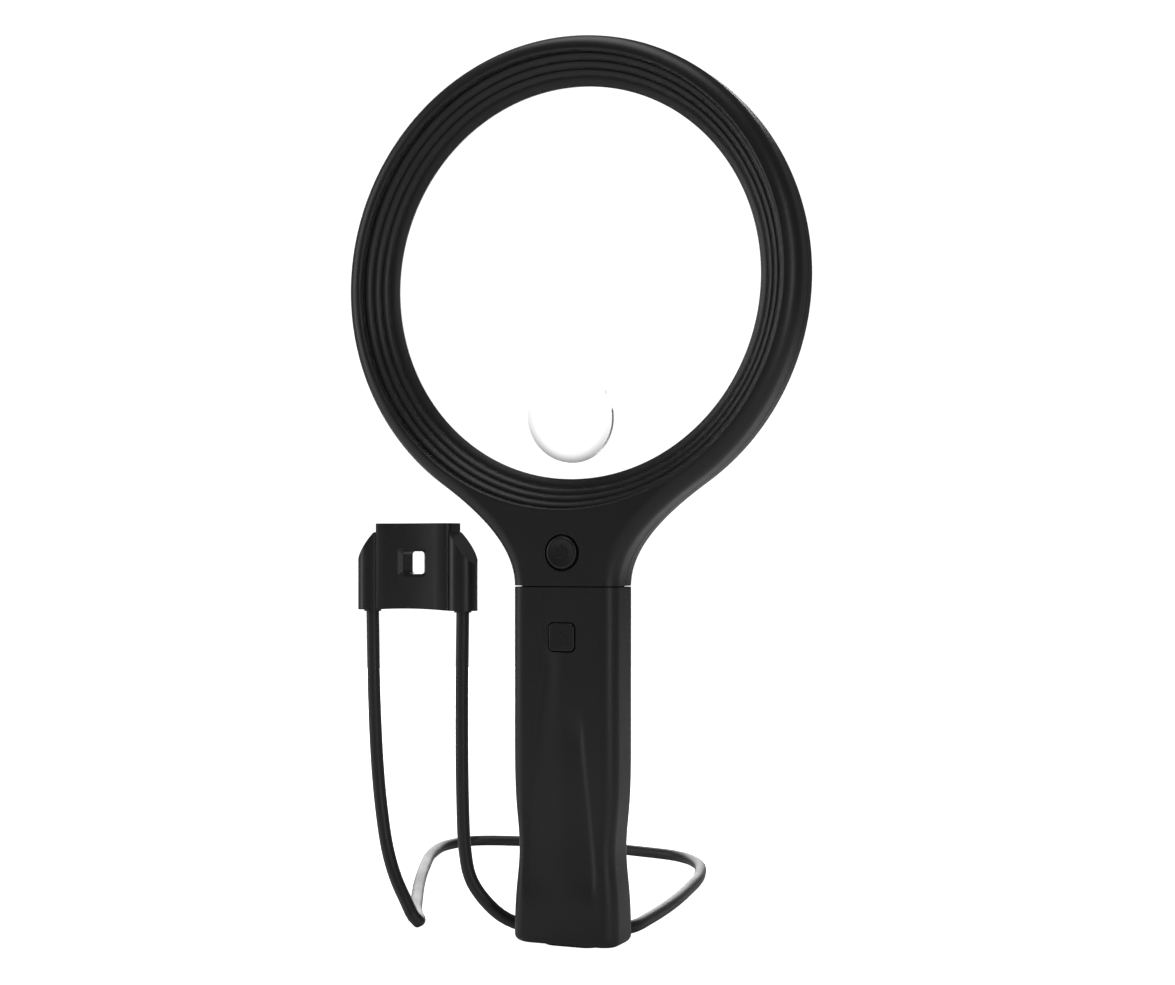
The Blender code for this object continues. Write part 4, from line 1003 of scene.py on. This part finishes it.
    def screws(self) -> None:
        """Four pan-head screws with cross recesses, seen from the back."""
        low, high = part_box("shell_screw_1")
        radius = (high.x - low.x) / 2
        top, end = -high.y, -low.y
        thick = 1.5 * MM
        core = 1.15 * MM
        profile = [(0, end - 0.02 * MM), (core * 0.5, end), (core, end - 0.8 * MM),
                   (core, top + thick), (radius, top + thick)]
        profile += arc((radius - 0.9 * MM, top + 0.9 * MM), 0.9 * MM, 0, -90, 6)
        profile += [(0, top)]
        first = middle("shell_screw_1")
        at = Vector((first.x, 0, first.z))
        screw = Piece.turned("screw_fine", profile, at, self.axis, 40, False)
        arm, deep = 1.15 * MM, 0.9 * MM
        for wide, tall in ((arm, 0.32 * MM), (0.32 * MM, arm)):
            slot = Piece.block("recess", (at.x - wide, high.y - deep, at.z - tall),
                               (at.x + wide, high.y + MM, at.z + tall))
            slot.taper(lambda p: p.y < high.y, "FACE", (0.7, 1, 0.7),
                       (at.x, high.y - deep, at.z))
            screw.meet(slot)
        for i in range(2, 5):
            place = middle(f"shell_screw_{i}")
            turn = Matrix.Rotation(math.radians(23 * i), 4, "Y")
            shift = (Matrix.Translation((place.x, 0, place.z)) @ turn
                     @ Matrix.Translation((-at.x, 0, -at.z)))
            copy = screw.copied(f"screw_fine_{i}", shift)
            copy.finish(BRIGHT_STEEL, "head", [f"shell_screw_{i}"], 30)
        screw.finish(BRIGHT_STEEL, "head", ["shell_screw_1"], 30)


# ------------------------------------------------------------------ the buttons

@dataclass
class Buttons:
    """The round power button on the neck and the square release button on the sleeve.

    Attributes:
        dish: How far the middle of the round cap lies behind its rim.
        symbol_rise: How far the symbols stand out of the caps.
        line: Width of the symbols' lines.
        root: How deep the symbols are sunk in the caps.
    """

    dish: float = 0.45 * MM
    symbol_rise: float = 0.14 * MM
    line: float = 0.62 * MM
    root: float = 0.25 * MM

    def build(self) -> None:
        """Make both caps and their symbols."""
        self.power_cap()
        self.power_symbol()
        self.release_cap()
        self.eject_symbol()

    def power_cap(self) -> None:
        """Round cap with a raised rim and a dished middle, and its flange inside the shell."""
        low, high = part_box("power_button_cap")
        at = middle("power_button_cap")
        flange = (high.x - low.x) / 2
        radius = flange - 1.4 * MM
        face = -low.y
        inner = -high.y + 1.15 * MM
        profile = [(0, face - self.dish), (radius * 0.45, face - self.dish * 0.86),
                   (radius * 0.66, face - self.dish * 0.45), (radius * 0.78, face - 0.06 * MM)]
        profile += arc((radius - 0.8 * MM, face - 0.8 * MM), 0.8 * MM, 90, 0, 8)
        profile += [(radius, inner), (flange, inner), (flange, inner - 0.8 * MM),
                    (1.4 * MM, inner - 0.8 * MM), (1.4 * MM, inner - 1.15 * MM),
                    (0, inner - 1.15 * MM)]
        cap = Piece.turned("power_cap_fine", profile, Vector((0, 0, at.z)), Vector((0, -1, 0)),
                           96, False)
        cap.finish(BUTTON_ABS, "power_button", ["power_button_cap"], 40)

    def power_symbol(self) -> None:
        """Open ring with a stroke in its gap, raised in the cap's dish."""
        low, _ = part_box("power_button_cap")
        z = middle("power_button_cap").z
        floor = low.y + self.dish * 0.86
        top = floor - self.symbol_rise
        r, half = 1.85 * MM, self.line / 2
        outer = arc((0, z), r + half, 122, 418, 48)
        inner = arc((0, z), r - half, 418, 122, 48)
        root = floor + self.root
        out = Vector((0, top - root, 0))
        mark = Piece.prism("power_mark", upright(outer + inner, root), out)
        stroke = rounded_box(half, 1.25 * MM, half * 0.95)
        bar = Piece.prism("power_bar", upright(stroke, root, z + 1.45 * MM), out)
        mark.meet(bar, Join.ADD)
        mark.round_edges(lambda p: p.y < top + TOUCH, 0.07 * MM, 2)
        mark.finish(SYMBOL_ABS, "power_button", angle=50)

    def release_cap(self) -> None:
        """Square cap with a softly rounded face, and its flange, arm and catch behind it."""
        low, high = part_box("release_button_cap")
        window_low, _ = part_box("handle_sleeve")
        inner = window_low.y + 2.0 * MM + 0.3 * MM
        half = 4.55 * MM
        z = release_height()
        face = upright(rounded_box(half, half, 1.7 * MM, 8), low.y, z)
        cap = Piece.prism("release_cap_fine", face, Vector((0, inner + 0.4 * MM - low.y, 0)))
        cap.round_edges(lambda p: p.y < low.y + TOUCH, 0.55 * MM, 6)
        wide = (high.x - low.x) / 2
        flange = Piece.block("flange", (-wide, inner, z - wide), (wide, inner + 0.8 * MM, z + wide))
        arm = Piece.block("arm", (-3.2 * MM, inner, z + half),
                          (3.2 * MM, inner + 0.8 * MM, high.z))
        tooth = Piece.block("tooth", (-2.5 * MM, inner + 0.4 * MM, high.z - 1.2 * MM),
                            (2.5 * MM, high.y, high.z))
        for part in (flange, arm, tooth):
            cap.meet(part, Join.ADD)
        cap.finish(BUTTON_ABS, "release_button", ["release_button_cap"], 40)

    def eject_symbol(self) -> None:
        """Triangle over a bar, raised on the square cap."""
        low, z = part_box("release_button_cap")[0], release_height()
        deep = low.y + self.root
        out = Vector((0, low.y - self.symbol_rise - deep, 0))
        half, foot, tall = 1.9 * MM, -0.55 * MM, 2.5 * MM
        corners = [(-half, foot), (half, foot), (0, foot + tall)]
        mark = Piece.prism("eject_mark", upright(corners, deep, z), out)
        small = [(x * 0.5, (h - 0.3 * MM) * 0.5 + 0.13 * MM) for x, h in corners]
        mark.meet(Piece.prism("inside", upright(small, deep + 0.5 * MM, z),
                              Vector((0, -2 * MM, 0))))
        bar = rounded_box(half, self.line / 2, self.line * 0.3, 3)
        stroke = Piece.prism("eject_bar", upright(bar, deep, z - 1.85 * MM), out)
        for piece in (mark, stroke):
            piece.round_edges(lambda p: p.y < low.y, 0.06 * MM, 2)
            piece.finish(SYMBOL_ABS, "release_button", angle=50)


# ------------------------------------------------------------------ the sleeve

@dataclass(frozen=True)
class Hollow:
    """A shallow pressed hollow in the grip, sharp outside and soft towards the middle.

    Attributes:
        start: Upper end of its deepest line, as X and Z.
        knee: Where that line turns straight down, as X and Z.
        end: Height of its lower end.
        crease: Width of its steep outer slope.
        fade: Length over which both ends run out.
        depth: How deep it is.
    """

    start: tuple[float, float]
    knee: tuple[float, float]
    end: float
    crease: float
    fade: float
    depth: float

    def weight(self, x: float, z: float) -> float:
        """Share of the full depth at a point of the front."""
        (x0, z0), (x1, z1) = self.start, self.knee
        t = min(1.0, max(0.0, (z - z1) / (z0 - z1)))
        line = x1 + (x0 - x1) * t
        side = math.copysign(1.0, line)
        off = (x - line) * side
        across = 1 - off / self.crease if off > 0 else 1 + off / abs(line)
        along = min((z0 + self.fade - z) / self.fade, (z - self.end + self.fade) / self.fade)
        share = 1.0
        for value in (across, along):
            value = min(1.0, max(0.0, value))
            share *= value * value * (3 - 2 * value)
        return share


@dataclass
class Handle:
    """The hollow sleeve that holds the cells, with the grip's waist and hollows.

    Attributes:
        wall: Thickness of the sleeve.
        floor: Thickness of its bottom.
        corner_front: Radius of the front corners.
        corner_back: Radius of the back corners.
        base_round: Radius of the edge round the base.
        foot: Width, depth and height of the oval foot under the base.
        waist_height: Height of the narrowest place.
        waist_depth: How far each side is drawn in there.
        waist_length: How quickly the waist fades, up and down.
        scoop: How far the grip's front is scooped, how far above the waist, and how quickly
            it fades.
        bay_step: How far under the carrier the bay turns narrower.
        window: Half the width of the release button's window, and its corners' radius.
        hollows: The pressed hollows of the grip's front.
    """

    wall: float = 2.0 * MM
    floor: float = 2.5 * MM
    corner_front: float = 5.0 * MM
    corner_back: float = 6.0 * MM
    base_round: float = 2.6 * MM
    foot: tuple[float, float, float] = (20 * MM, 10.5 * MM, 1.1 * MM)
    waist_height: float = 31.8 * MM
    waist_depth: float = 1.55 * MM
    waist_length: float = 13.5 * MM
    scoop: tuple[float, float, float] = (0.7 * MM, 6 * MM, 17 * MM)
    bay_step: float = 1.5 * MM
    window: tuple[float, float] = (4.95 * MM, 2.0 * MM)
    hollows: tuple[Hollow, ...] = (
        Hollow((-5.4 * MM, 92 * MM), (-12.2 * MM, 45 * MM), 24 * MM, 2.4 * MM, 12 * MM,
               0.75 * MM),
        Hollow((6.0 * MM, 69 * MM), (10.2 * MM, 25 * MM), 24 * MM, 2.2 * MM, 10 * MM,
               0.75 * MM),
    )

    def __post_init__(self) -> None:
        """Take the sleeve's size from its CAD node."""
        low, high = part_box("handle_sleeve")
        self.half = (high.x - low.x) / 2
        self.front = low.y
        self.back = high.y
        self.top = high.z

    def section(self, z: float) -> list[Vector]:
        """Points round the sleeve at full width, close enough on the front for the hollows."""
        half, small = self.half, self.corner_front
        flat = 2 * (half - small)
        front = [(-half + small + flat * i / 40, self.front) for i in range(1, 40)]
        return level(self.straight_section(0.0, 10, 12) + front, z)

    def width_at(self, z: float) -> float:
        """Share of the full width at a height."""
        waist = math.exp(-((z - self.waist_height) / self.waist_length) ** 2)
        inset = self.waist_depth * waist + self.base_inset(z)
        return (self.half - inset) / self.half

    def depth_at(self, z: float) -> float:
        """Share of the full depth at a height."""
        depth, above, length = self.scoop
        share = math.exp(-((z - self.waist_height - above) / length) ** 2)
        inset = depth * share + self.base_inset(z)
        return (self.back - inset) / self.back

    def base_inset(self, z: float) -> float:
        """How far the rounded base edge lies inside the side at a height."""
        drop = self.foot[2] + self.base_round - z
        if drop <= 0:
            return 0.0
        return self.base_round - math.sqrt(max(self.base_round ** 2 - drop ** 2, 0.0))

    def build(self) -> None:
        """Loft the sleeve, press its hollows and cut its inside and its button window."""
        sleeve = self.loft()
        for hollow in self.hollows:
            self.press(sleeve, hollow)
        sleeve.round_edges(lambda p: p.z > self.top - TOUCH, 0.25 * MM, 2)
        floor = self.foot[2] + self.floor
        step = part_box("battery_carrier")[0].z - self.bay_step
        sleeve.meet(Piece.prism("sleeve_inside", level(self.straight_section(self.wall), step),
                                Vector((0, 0, self.top))))
        narrow = self.straight_section(self.wall + self.waist_depth)
        bay = Piece.prism("sleeve_bay", level(narrow, floor), Vector((0, 0, step + MM - floor)))
        bay.round_edges(lambda p: p.z < floor + TOUCH, 1.2 * MM, 3)
        sleeve.meet(bay)
        wide, deep, rise = self.foot
        oval = rounded_box(wide / 2, deep / 2, deep / 2 - 0.1 * MM, 12)
        foot = Piece.prism("foot", level(oval, rise + MM), Vector((0, 0, -rise - MM)))
        foot.round_edges(lambda p: p.z < TOUCH, 0.3 * MM, 3)
        sleeve.meet(foot, Join.ADD)
        z = release_height()
        half, corner = self.window
        window = upright(rounded_box(half, half, corner, 8), self.front - 4 * MM, z)
        sleeve.meet(Piece.prism("window", window, Vector((0, 9 * MM, 0))))
        sleeve.round_edges(lambda p: (abs(p.y - self.front) < 0.02 * MM
                                      and abs(p.x) < half + TOUCH
                                      and abs(p.z - z) < half + TOUCH
                                      and max(abs(p.x), abs(p.z - z)) > half - corner - 0.2 * MM),
                           0.22 * MM, 3)
        sleeve.finish(SLEEVE_ABS, "handle", ["handle_sleeve"], 32)

    def straight_section(self, wall: float, few: int = 6, many: int = 8) -> list:
        """The sleeve's straight section, or one that lies inside it.

        Args:
            wall: How far it lies inside the outer one.
            few: The number of steps round a front corner.
            many: The number of steps round a back corner.

        Returns:
            The section's points as X and Y.
        """
        half = self.half - wall
        front, back = self.front + wall, self.back - wall
        small, large = self.corner_front - wall, self.corner_back - wall
        return (arc((half - small, front + small), small, -90, 0, few)
                + arc((half - large, back - large), large, 0, 90, many)
                + arc((-half + large, back - large), large, 90, 180, many)
                + arc((-half + small, front + small), small, 180, 270, few))

    def loft(self) -> Piece:
        """Pull the section up from the base, narrowing it at each level as the grip does."""
        base, low = self.foot[2], self.foot[2] + self.base_round
        levels = [base + self.base_round * (1 - math.cos(math.radians(90 * i / 6)))
                  for i in range(7)]
        grip_top = 100 * MM
        levels += [low + (grip_top - low) * i / 60 for i in range(1, 61)]
        levels.append(self.top)
        piece = Piece.traced("handle_sleeve_fine", self.section(base))
        bpy.ops.transform.resize(value=(self.width_at(base), self.depth_at(base), 1),
                                 center_override=(0, 0, base))
        bpy.ops.mesh.edge_face_add()
        for low, high in zip(levels, levels[1:]):
            bpy.ops.mesh.extrude_region_move(TRANSFORM_OT_translate={"value": (0, 0, high - low)})
            bpy.ops.transform.resize(
                value=(self.width_at(high) / self.width_at(low),
                       self.depth_at(high) / self.depth_at(low), 1),
                center_override=(0, 0, high))
        return piece.outwards()

    def press(self, sleeve: Piece, hollow: Hollow) -> None:
        """Push the front inwards where the hollow lies."""
        group = sleeve.obj.vertex_groups.new(name="hollow")
        for vertex in sleeve.obj.data.vertices:
            share = hollow.weight(vertex.co.x, vertex.co.z)
            if vertex.co.y < self.front + 2 * MM and share > 0:
                group.add([vertex.index], share, "REPLACE")
        sleeve.modify("DISPLACE", direction="Y", mid_level=0.0, strength=hollow.depth,
                      vertex_group=group.name)
        sleeve.obj.vertex_groups.clear()


# ------------------------------------------------------------------ the stand

@dataclass
class Stand:
    """The slotted bracket on the two ends of a bendable, rubber-covered wire loop.

    Attributes:
        half: Half the width of the bracket's middle plate.
        leg: Half the distance between the two legs.
        lobe: Radius of the bracket's sockets round the wire ends.
        plate_front: Front of the plate, from the legs' plane.
        plate_back: Back of the plate.
        dish: How far the plate's middle is hollowed.
        corner: Radius of the plate's front corners.
        arch: Rise of the bracket's lower edge.
        shoulder_low: Height of the sockets' outer shoulder.
        shoulder_high: Height where the shoulder meets the plate.
        slot: Width and height of the slot.
        slot_chamfer: Width of the slope round the slot's mouth.
        wire: Radius of the covered wire.
        wire_low: Height of the wire's middle on the floor.
    """

    half: float = 15.4 * MM
    leg: float = 18.5 * MM
    lobe: float = 5.1 * MM
    plate_front: float = -4.4 * MM
    plate_back: float = 4.0 * MM
    dish: float = 1.1 * MM
    corner: float = 2.4 * MM
    arch: float = 0.5 * MM
    shoulder_low: float = 126.0 * MM
    shoulder_high: float = 137.0 * MM
    slot: tuple[float, float] = (8.8 * MM, 7.8 * MM)
    slot_chamfer: float = 1.1 * MM
    wire: float = 2.25 * MM
    wire_low: float = 2.35 * MM

    def __post_init__(self) -> None:
        """Take the stand's place and turn from its slot mount."""
        self.at, axis = mount("bracket_slot")
        self.turn = math.atan2(axis.x, -axis.y)
        low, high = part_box("stand_bracket")
        self.low, self.high = low.z, high.z
        self.to_world = (Matrix.Translation((self.at.x, self.at.y, 0))
                         @ Matrix.Rotation(self.turn, 4, "Z"))

    def build(self) -> None:
        """Make the bracket and the wire loop."""
        self.bracket()
        self.loop()

    def plate_section(self) -> list[Vector]:
        """The plate from above: a hollowed front between two rounded corners."""
        x, r = self.half, self.corner
        front, back = self.plate_front, self.plate_back
        points = arc((x - r, front + r), r, -70, 0, 8)
        points += arc((x - 0.8 * MM, back - 0.8 * MM), 0.8 * MM, 0, 90, 3)
        points += arc((-x + 0.8 * MM, back - 0.8 * MM), 0.8 * MM, 90, 180, 3)
        points += arc((-x + r, front + r), r, 180, 250, 8)
        edge = points[-1]
        start, end = edge[0], -edge[0]
        for i in range(1, 24):
            t = i / 24
            u = start + (end - start) * t
            deep = self.dish * (math.sin(math.pi * t) ** 1.3)
            points.append((u, edge[1] + (front + deep - edge[1]) * min(1.0, 6 * t, 6 * (1 - t))))
        return level(points, self.low)

    def bracket(self) -> None:
        """The moulded bracket: plate, two sockets with sloping shoulders, slot and arch."""
        plate = Piece.prism("stand_bracket_fine", self.plate_section(),
                            Vector((0, 0, self.high - self.low)))
        for side in (-1, 1):
            plate.meet(self.socket(side), Join.ADD)
        radius = (self.half ** 2 + self.arch ** 2) / (2 * self.arch)
        rise = arc((0, self.low + self.arch - radius), radius, 84, 96, 40)
        rise = [(u, z) for u, z in rise if abs(u) < self.half * 0.98]
        under = self.low - 5 * MM
        arch = rise + [(rise[-1][0], under), (rise[0][0], under)]
        start, through = -20 * MM, Vector((0, 40 * MM, 0))
        plate.meet(Piece.prism("arch_tool", upright(arch, start), through))
        plate.soften(0.45 * MM, 3, 50)
        w, h = self.slot[0] / 2, self.slot[1] / 2
        z = self.at.z
        hole = upright(rounded_box(w, h, 1.2 * MM, 5), start, z)
        plate.meet(Piece.prism("slot_tool", hole, through))
        face, before = self.plate_front + self.dish, 3 * MM
        wide = before + self.slot_chamfer
        mouth = upright(rounded_box(w + wide, h + wide, 1.9 * MM, 5), face - before, z)
        funnel = Piece.prism("slot_chamfer", mouth, Vector((0, wide, 0)))
        shrink = ((w - 0.1 * MM) / (w + wide), 1, (h - 0.1 * MM) / (h + wide))
        funnel.taper(lambda p: p.y > face, "VERT", shrink, (0, face, z))
        plate.meet(funnel)
        under, shelf, end = self.low - 3 * MM, self.low + 0.6 * MM, self.low + 14.5 * MM
        collar, narrow = 3.3 * MM, self.wire + 0.3 * MM
        bore = [(0, under), (collar, under), (collar, shelf), (narrow, shelf), (narrow, end),
                (0, end)]
        for side in (-1, 1):
            plate.meet(Piece.turned("bore", bore, Vector((side * self.leg, 0, 0)),
                                    Vector((0, 0, 1)), 40, False))
        plate.move(self.to_world)
        plate.finish(BRACKET_ABS, "stand", ["stand_bracket"], 30)

    def socket(self, side: int) -> Piece:
        """One socket round a wire end, its top sloping down to the outside."""
        base = [(0, self.low), (self.lobe, self.low), (self.lobe, self.shoulder_high),
                (0, self.shoulder_high)]
        piece = Piece.turned(f"socket_{side}", base, Vector((side * self.leg, 0, 0)),
                             Vector((0, 0, 1)), 56, False)
        run = self.leg + self.lobe - self.half
        lean = math.atan2(self.shoulder_high - self.shoulder_low, run)
        middle_of_slope = (side * (self.half + run / 2), 0,
                           (self.shoulder_low + self.shoulder_high) / 2)
        piece.trim(middle_of_slope, (side * math.sin(lean), 0, math.cos(lean)))
        return piece

    def route(self) -> list[Vector]:
        """The wire's middle line: down the left leg, round on the floor, up the right leg.

        The points between the legs' tops are written in millimetres.
        """
        top_left, top_right = (self.to_world @ Vector((s * self.leg, 0, self.low))
                               for s in (-1, 1))
        leg_down = [(-79.4, 7.9, 80), (-78.3, 7.9, 58), (-76.7, 7.8, 42), (-73.8, 7.2, 26.5),
                    (-70.0, 6.1, 16.8), (-65.2, 4.5, 9.4), (-61.4, 3.1, 4.3), (-60.0, 4.1, 2.5)]
        floor = [(-61.4, 7.4), (-65.4, 13.8), (-71.4, 24.0), (-80.4, 42.0), (-97.6, 77.6),
                 (-113.0, 112.0), (-125.5, 143.0), (-130.3, 166.0), (-125.4, 181.9),
                 (-109.0, 188.8), (-87.0, 190.3), (-50.0, 182.9), (-27.0, 175.5),
                 (-13.0, 160.0), (-2.0, 131.0), (4.5, 98.0), (8.6, 70.0), (11.0, 42.0),
                 (11.0, 24.0), (6.0, 16.6), (-4.0, 14.8), (-14.0, 13.6)]
        leg_up = [(-23.5, 10.6, 2.9), (-30.3, 7.4, 6.3), (-37.2, 5.2, 13.5), (-40.6, 4.6, 19.5),
                  (-42.3, 4.3, 28.5), (-43.1, 4.2, 45), (-43.4, 4.2, 76)]
        low = self.wire_low / MM
        points = leg_down + [(x, y, low) for x, y in floor] + leg_up
        return [top_left] + [Vector(p) * MM for p in points] + [top_right]

    def loop(self) -> None:
        """The rubber cover of the wire: one smooth tube along its route."""
        line = smooth_line(self.route(), 2.5 * MM)
        up = Vector((0, 0, 4 * MM))
        line = [line[0] + up] + line + [line[-1] + up]
        deselect()
        bpy.ops.curve.primitive_nurbs_path_add(location=(0, 0, 0))
        path = bpy.context.object
        path.data.splines.clear()
        spline = path.data.splines.new("POLY")
        spline.points.add(len(line) - 1)
        for point, place in zip(spline.points, line):
            point.co = (*place, 1)
        path.data.bevel_depth = self.wire
        path.data.bevel_resolution = 5
        path.data.use_fill_caps = True
        bpy.ops.object.convert(target="MESH")
        tube = Piece(bpy.context.object, "loop_sheath_fine")
        tube.weld(0.005 * MM).outwards()
        tube.finish(WIRE_RUBBER, "stand", ["loop_sheath"], 50)


def smooth_line(route: Sequence[Vector], spacing: float) -> list[Vector]:
    """Points of a smooth curve through a route's points.

    Args:
        route: The points that the curve passes through.
        spacing: The distance between the curve's points.

    Returns:
        The curve's points, its two ends included.
    """
    points = [route[0] * 2 - route[1], *route, route[-1] * 2 - route[-2]]
    out = []
    for p0, p1, p2, p3 in zip(points, points[1:], points[2:], points[3:]):
        d0, d1, d2 = ((b - a).length ** 0.5 for a, b in ((p0, p1), (p1, p2), (p2, p3)))
        m1 = ((p1 - p0) / d0 - (p2 - p0) / (d0 + d1) + (p2 - p1) / d1) * d1
        m2 = ((p2 - p1) / d1 - (p3 - p1) / (d1 + d2) + (p3 - p2) / d2) * d1
        count = max(1, round((p2 - p1).length / spacing))
        for i in range(count):
            t = i / count
            out.append(p1 * (2 * t ** 3 - 3 * t ** 2 + 1) + m1 * (t ** 3 - 2 * t ** 2 + t)
                       + p2 * (3 * t ** 2 - 2 * t ** 3) + m2 * (t ** 3 - t ** 2))
    out.append(route[-1])
    return out


# ------------------------------------------------------------------ parts kept from the CAD

@dataclass
class Insides:
    """The CAD nodes that keep their shape and only get a finish.

    Attributes:
        release_travel: How far the release cap presses its spring; not used.
    """

    release_travel: float = 0.9 * MM

    def build(self) -> None:
        """Dress each kept node."""
        self.dress(BRIGHT_STEEL, ["latch_plate", "switch_plunger", "loop_core"]
                   + [f"contact_spring_{i}" for i in (1, 2, 3)])
        self.dress(NICKEL, ["long_strap", "short_strap", "wire_ferrule_left",
                            "wire_ferrule_right"])
        self.dress(INNER_ABS, ["switch_body", "battery_carrier"])
        self.dress(BOARD, ["led_board", "switch_board"])
        self.dress(RED_PVC, ["battery_lead_plus", "led_lead_plus"])
        self.dress(BLACK_PVC, ["battery_lead_minus", "led_lead_minus"])
        self.dress(WIRE_RUBBER, ["leg_collar_left", "leg_collar_right"])
        self.dress(self.led_finish(), [f"led_{i:02d}" for i in range(1, 13)])
        for i in (1, 2, 3):
            self.dress(self.cell_finish(i), [f"aaa_cell_{i}"])
        self.spring()

    def spring(self) -> None:
        """The release spring as a piece of its own, riding on the handle."""
        mesh = frame["nodes"]["release_spring"].data.copy()
        obj = bpy.data.objects.new("release_spring_fine", mesh)
        bpy.context.collection.objects.link(obj)
        coil = Piece(obj, "release_spring_fine").weld(0.001 * MM)
        coil.finish(BRIGHT_STEEL, "handle", ["release_spring"])
        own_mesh(obj)

    def dress(self, finish: Finish, nodes: Iterable[str]) -> None:
        """Give CAD nodes a finish.

        Args:
            finish: The finish.
            nodes: The nodes' names.
        """
        for name in nodes:
            obj = frame["nodes"][name]
            paint(obj, finish)
            activate(obj)
            bpy.ops.object.shade_smooth_by_angle(angle=math.radians(35))
            LOG.info("%s: %s", name, finish.name)

    @staticmethod
    def led_finish() -> BandedFinish:
        """White package whose back, towards the diffuser, is the yellow phosphor."""
        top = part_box("led_01")[1].y
        return BandedFinish("white_led_package_with_phosphor", "led_package", "#E8E6DE", "#DEDCD4",
                            0.3, 0.1, 0.8 * MM, 0.01 * MM, axis="Y",
                            bands=((top - 0.05 * MM, "#E6C95C"),))

    @staticmethod
    def cell_finish(number: int) -> BandedFinish:
        """Plain shrink film with a paler band at the plus end and bare metal ends."""
        low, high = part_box(f"aaa_cell_{number}")
        return BandedFinish(f"printed_cell_film_{number}", "cell_wrap", "#26324C", "#2B3854",
                            0.22, 0.08, 1.0 * MM, 0.01 * MM, axis="Z",
                            bands=((high.z - 12 * MM, "#B8BCC2"), (high.z - 1.3 * MM, "#C4C2BC")),
                            metal_from=high.z - 1.3 * MM, metal_to=low.z + 0.6 * MM)


# ------------------------------------------------------------------ the studio

@dataclass(frozen=True)
class SoftBox:
    """A large soft light.

    Attributes:
        name: Its name.
        place: Where it hangs.
        aim: The point that it faces.
        size: Its width and height.
        power: Its power in watts.
    """

    name: str
    place: tuple[float, float, float]
    aim: tuple[float, float, float]
    size: tuple[float, float]
    power: float

    def build(self) -> None:
        """Hang the light."""
        deselect()
        bpy.ops.object.light_add(type="AREA", location=self.place)
        light = bpy.context.object
        light.name = self.name
        light.data.shape = "RECTANGLE"
        light.data.size, light.data.size_y = self.size
        light.data.energy = self.power
        look = Vector(self.aim) - Vector(self.place)
        light.rotation_euler = look.to_track_quat("-Z", "Y").to_euler()
        light.visible_transmission = False


@dataclass
class Studio:
    """Camera, soft lights, pale floor and white surroundings.

    Attributes:
        eye: The camera's place.
        heading: The camera's turn about Z, in degrees; it looks level.
        lens: Its focal length, in millimetres on a sensor 36 mm wide.
        shift: How far the frame is shifted up, as a share of its width.
        room: How bright the room is in reflections and as fill, where white is 1.
        floor_glow: How bright the floor is in them.
        backdrop: How bright what is seen behind the object is, so that it shows as white.
    """

    eye: tuple[float, float, float] = (0.2591, -0.6113, 0.1325)
    heading: float = 22.579
    lens: float = 61.28
    shift: float = 0.0447
    room: float = 0.12
    floor_glow: float = 0.04
    backdrop: float = 1.15

    def build(self) -> None:
        """Set up everything that isn't part of the object."""
        self.camera()
        self.floor()
        self.surroundings()
        for light in (
            SoftBox("behind", (-0.65, 1.3, 0.40), (0, 0, 0.20), (1.1, 1.1), 16.0),
            SoftBox("left_strip", (-1.20, -0.42, 0.35), (0, 0, 0.14), (0.3, 1.1), 3.4),
            SoftBox("right_strip", (0.95, -0.75, 0.30), (0, 0, 0.14), (0.22, 1.0), 2.6),
            SoftBox("overhead", (-0.1, -0.10, 1.1), (0, 0, 0.2), (0.9, 0.5), 3.0),
        ):
            light.build()
        bpy.context.scene.view_settings.view_transform = "Standard"

    def camera(self) -> None:
        """The camera, level, with the frame shifted to the object's height."""
        deselect()
        bpy.ops.object.camera_add(location=self.eye,
                                  rotation=(math.pi / 2, 0, math.radians(self.heading)))
        camera = bpy.context.object
        camera.data.sensor_width = 36.0
        camera.data.lens = self.lens
        camera.data.shift_y = self.shift
        bpy.context.scene.camera = camera

    def floor(self) -> None:
        """A plain pale floor."""
        deselect()
        bpy.ops.mesh.primitive_plane_add(size=12.0, location=(0, 0, -0.0002))
        floor = bpy.context.object
        floor.name = "floor"
        shader = Shader("pale_floor")
        ray = shader.node("ShaderNodeLightPath").outputs
        seen = shader.maths("MAXIMUM", ray["Is Camera Ray"], ray["Is Transmission Ray"])
        shader.feed("Emission Strength", shader.ranged(seen, self.floor_glow, 1.1))
        shader.set(Base_Color=linear("#F4F4F4"), Roughness=0.8, Emission_Color=linear(WHITE))
        floor.data.materials.append(shader.material)

    def surroundings(self) -> None:
        """White behind everything, and a dimmer room in the reflections."""
        world = bpy.data.worlds.new("studio")
        bpy.context.scene.world = world
        world.use_nodes = True
        nodes = world.node_tree.nodes
        room, backdrop = nodes["Background"], nodes.new("ShaderNodeBackground")
        for node, strength in ((room, self.room), (backdrop, self.backdrop)):
            node.inputs["Color"].default_value = linear(WHITE)
            node.inputs["Strength"].default_value = strength
        ray = nodes.new("ShaderNodeLightPath").outputs
        seen, mix = nodes.new("ShaderNodeMath"), nodes.new("ShaderNodeMixShader")
        seen.operation = "MAXIMUM"
        for source, target in (
            (ray["Is Camera Ray"], seen.inputs[0]), (ray["Is Transmission Ray"], seen.inputs[1]),
            (seen.outputs[0], mix.inputs["Fac"]), (room.outputs[0], mix.inputs[1]),
            (backdrop.outputs[0], mix.inputs[2]),
            (mix.outputs[0], nodes["World Output"].inputs["Surface"]),
        ):
            world.node_tree.links.new(source, target)


def main() -> None:
    """Build the magnifier, its stand and the studio."""
    Studio().build()
    Insides().build()
    LensHead().build()
    Buttons().build()
    Handle().build()
    Stand().build()


if __name__ == "__main__":
    main()
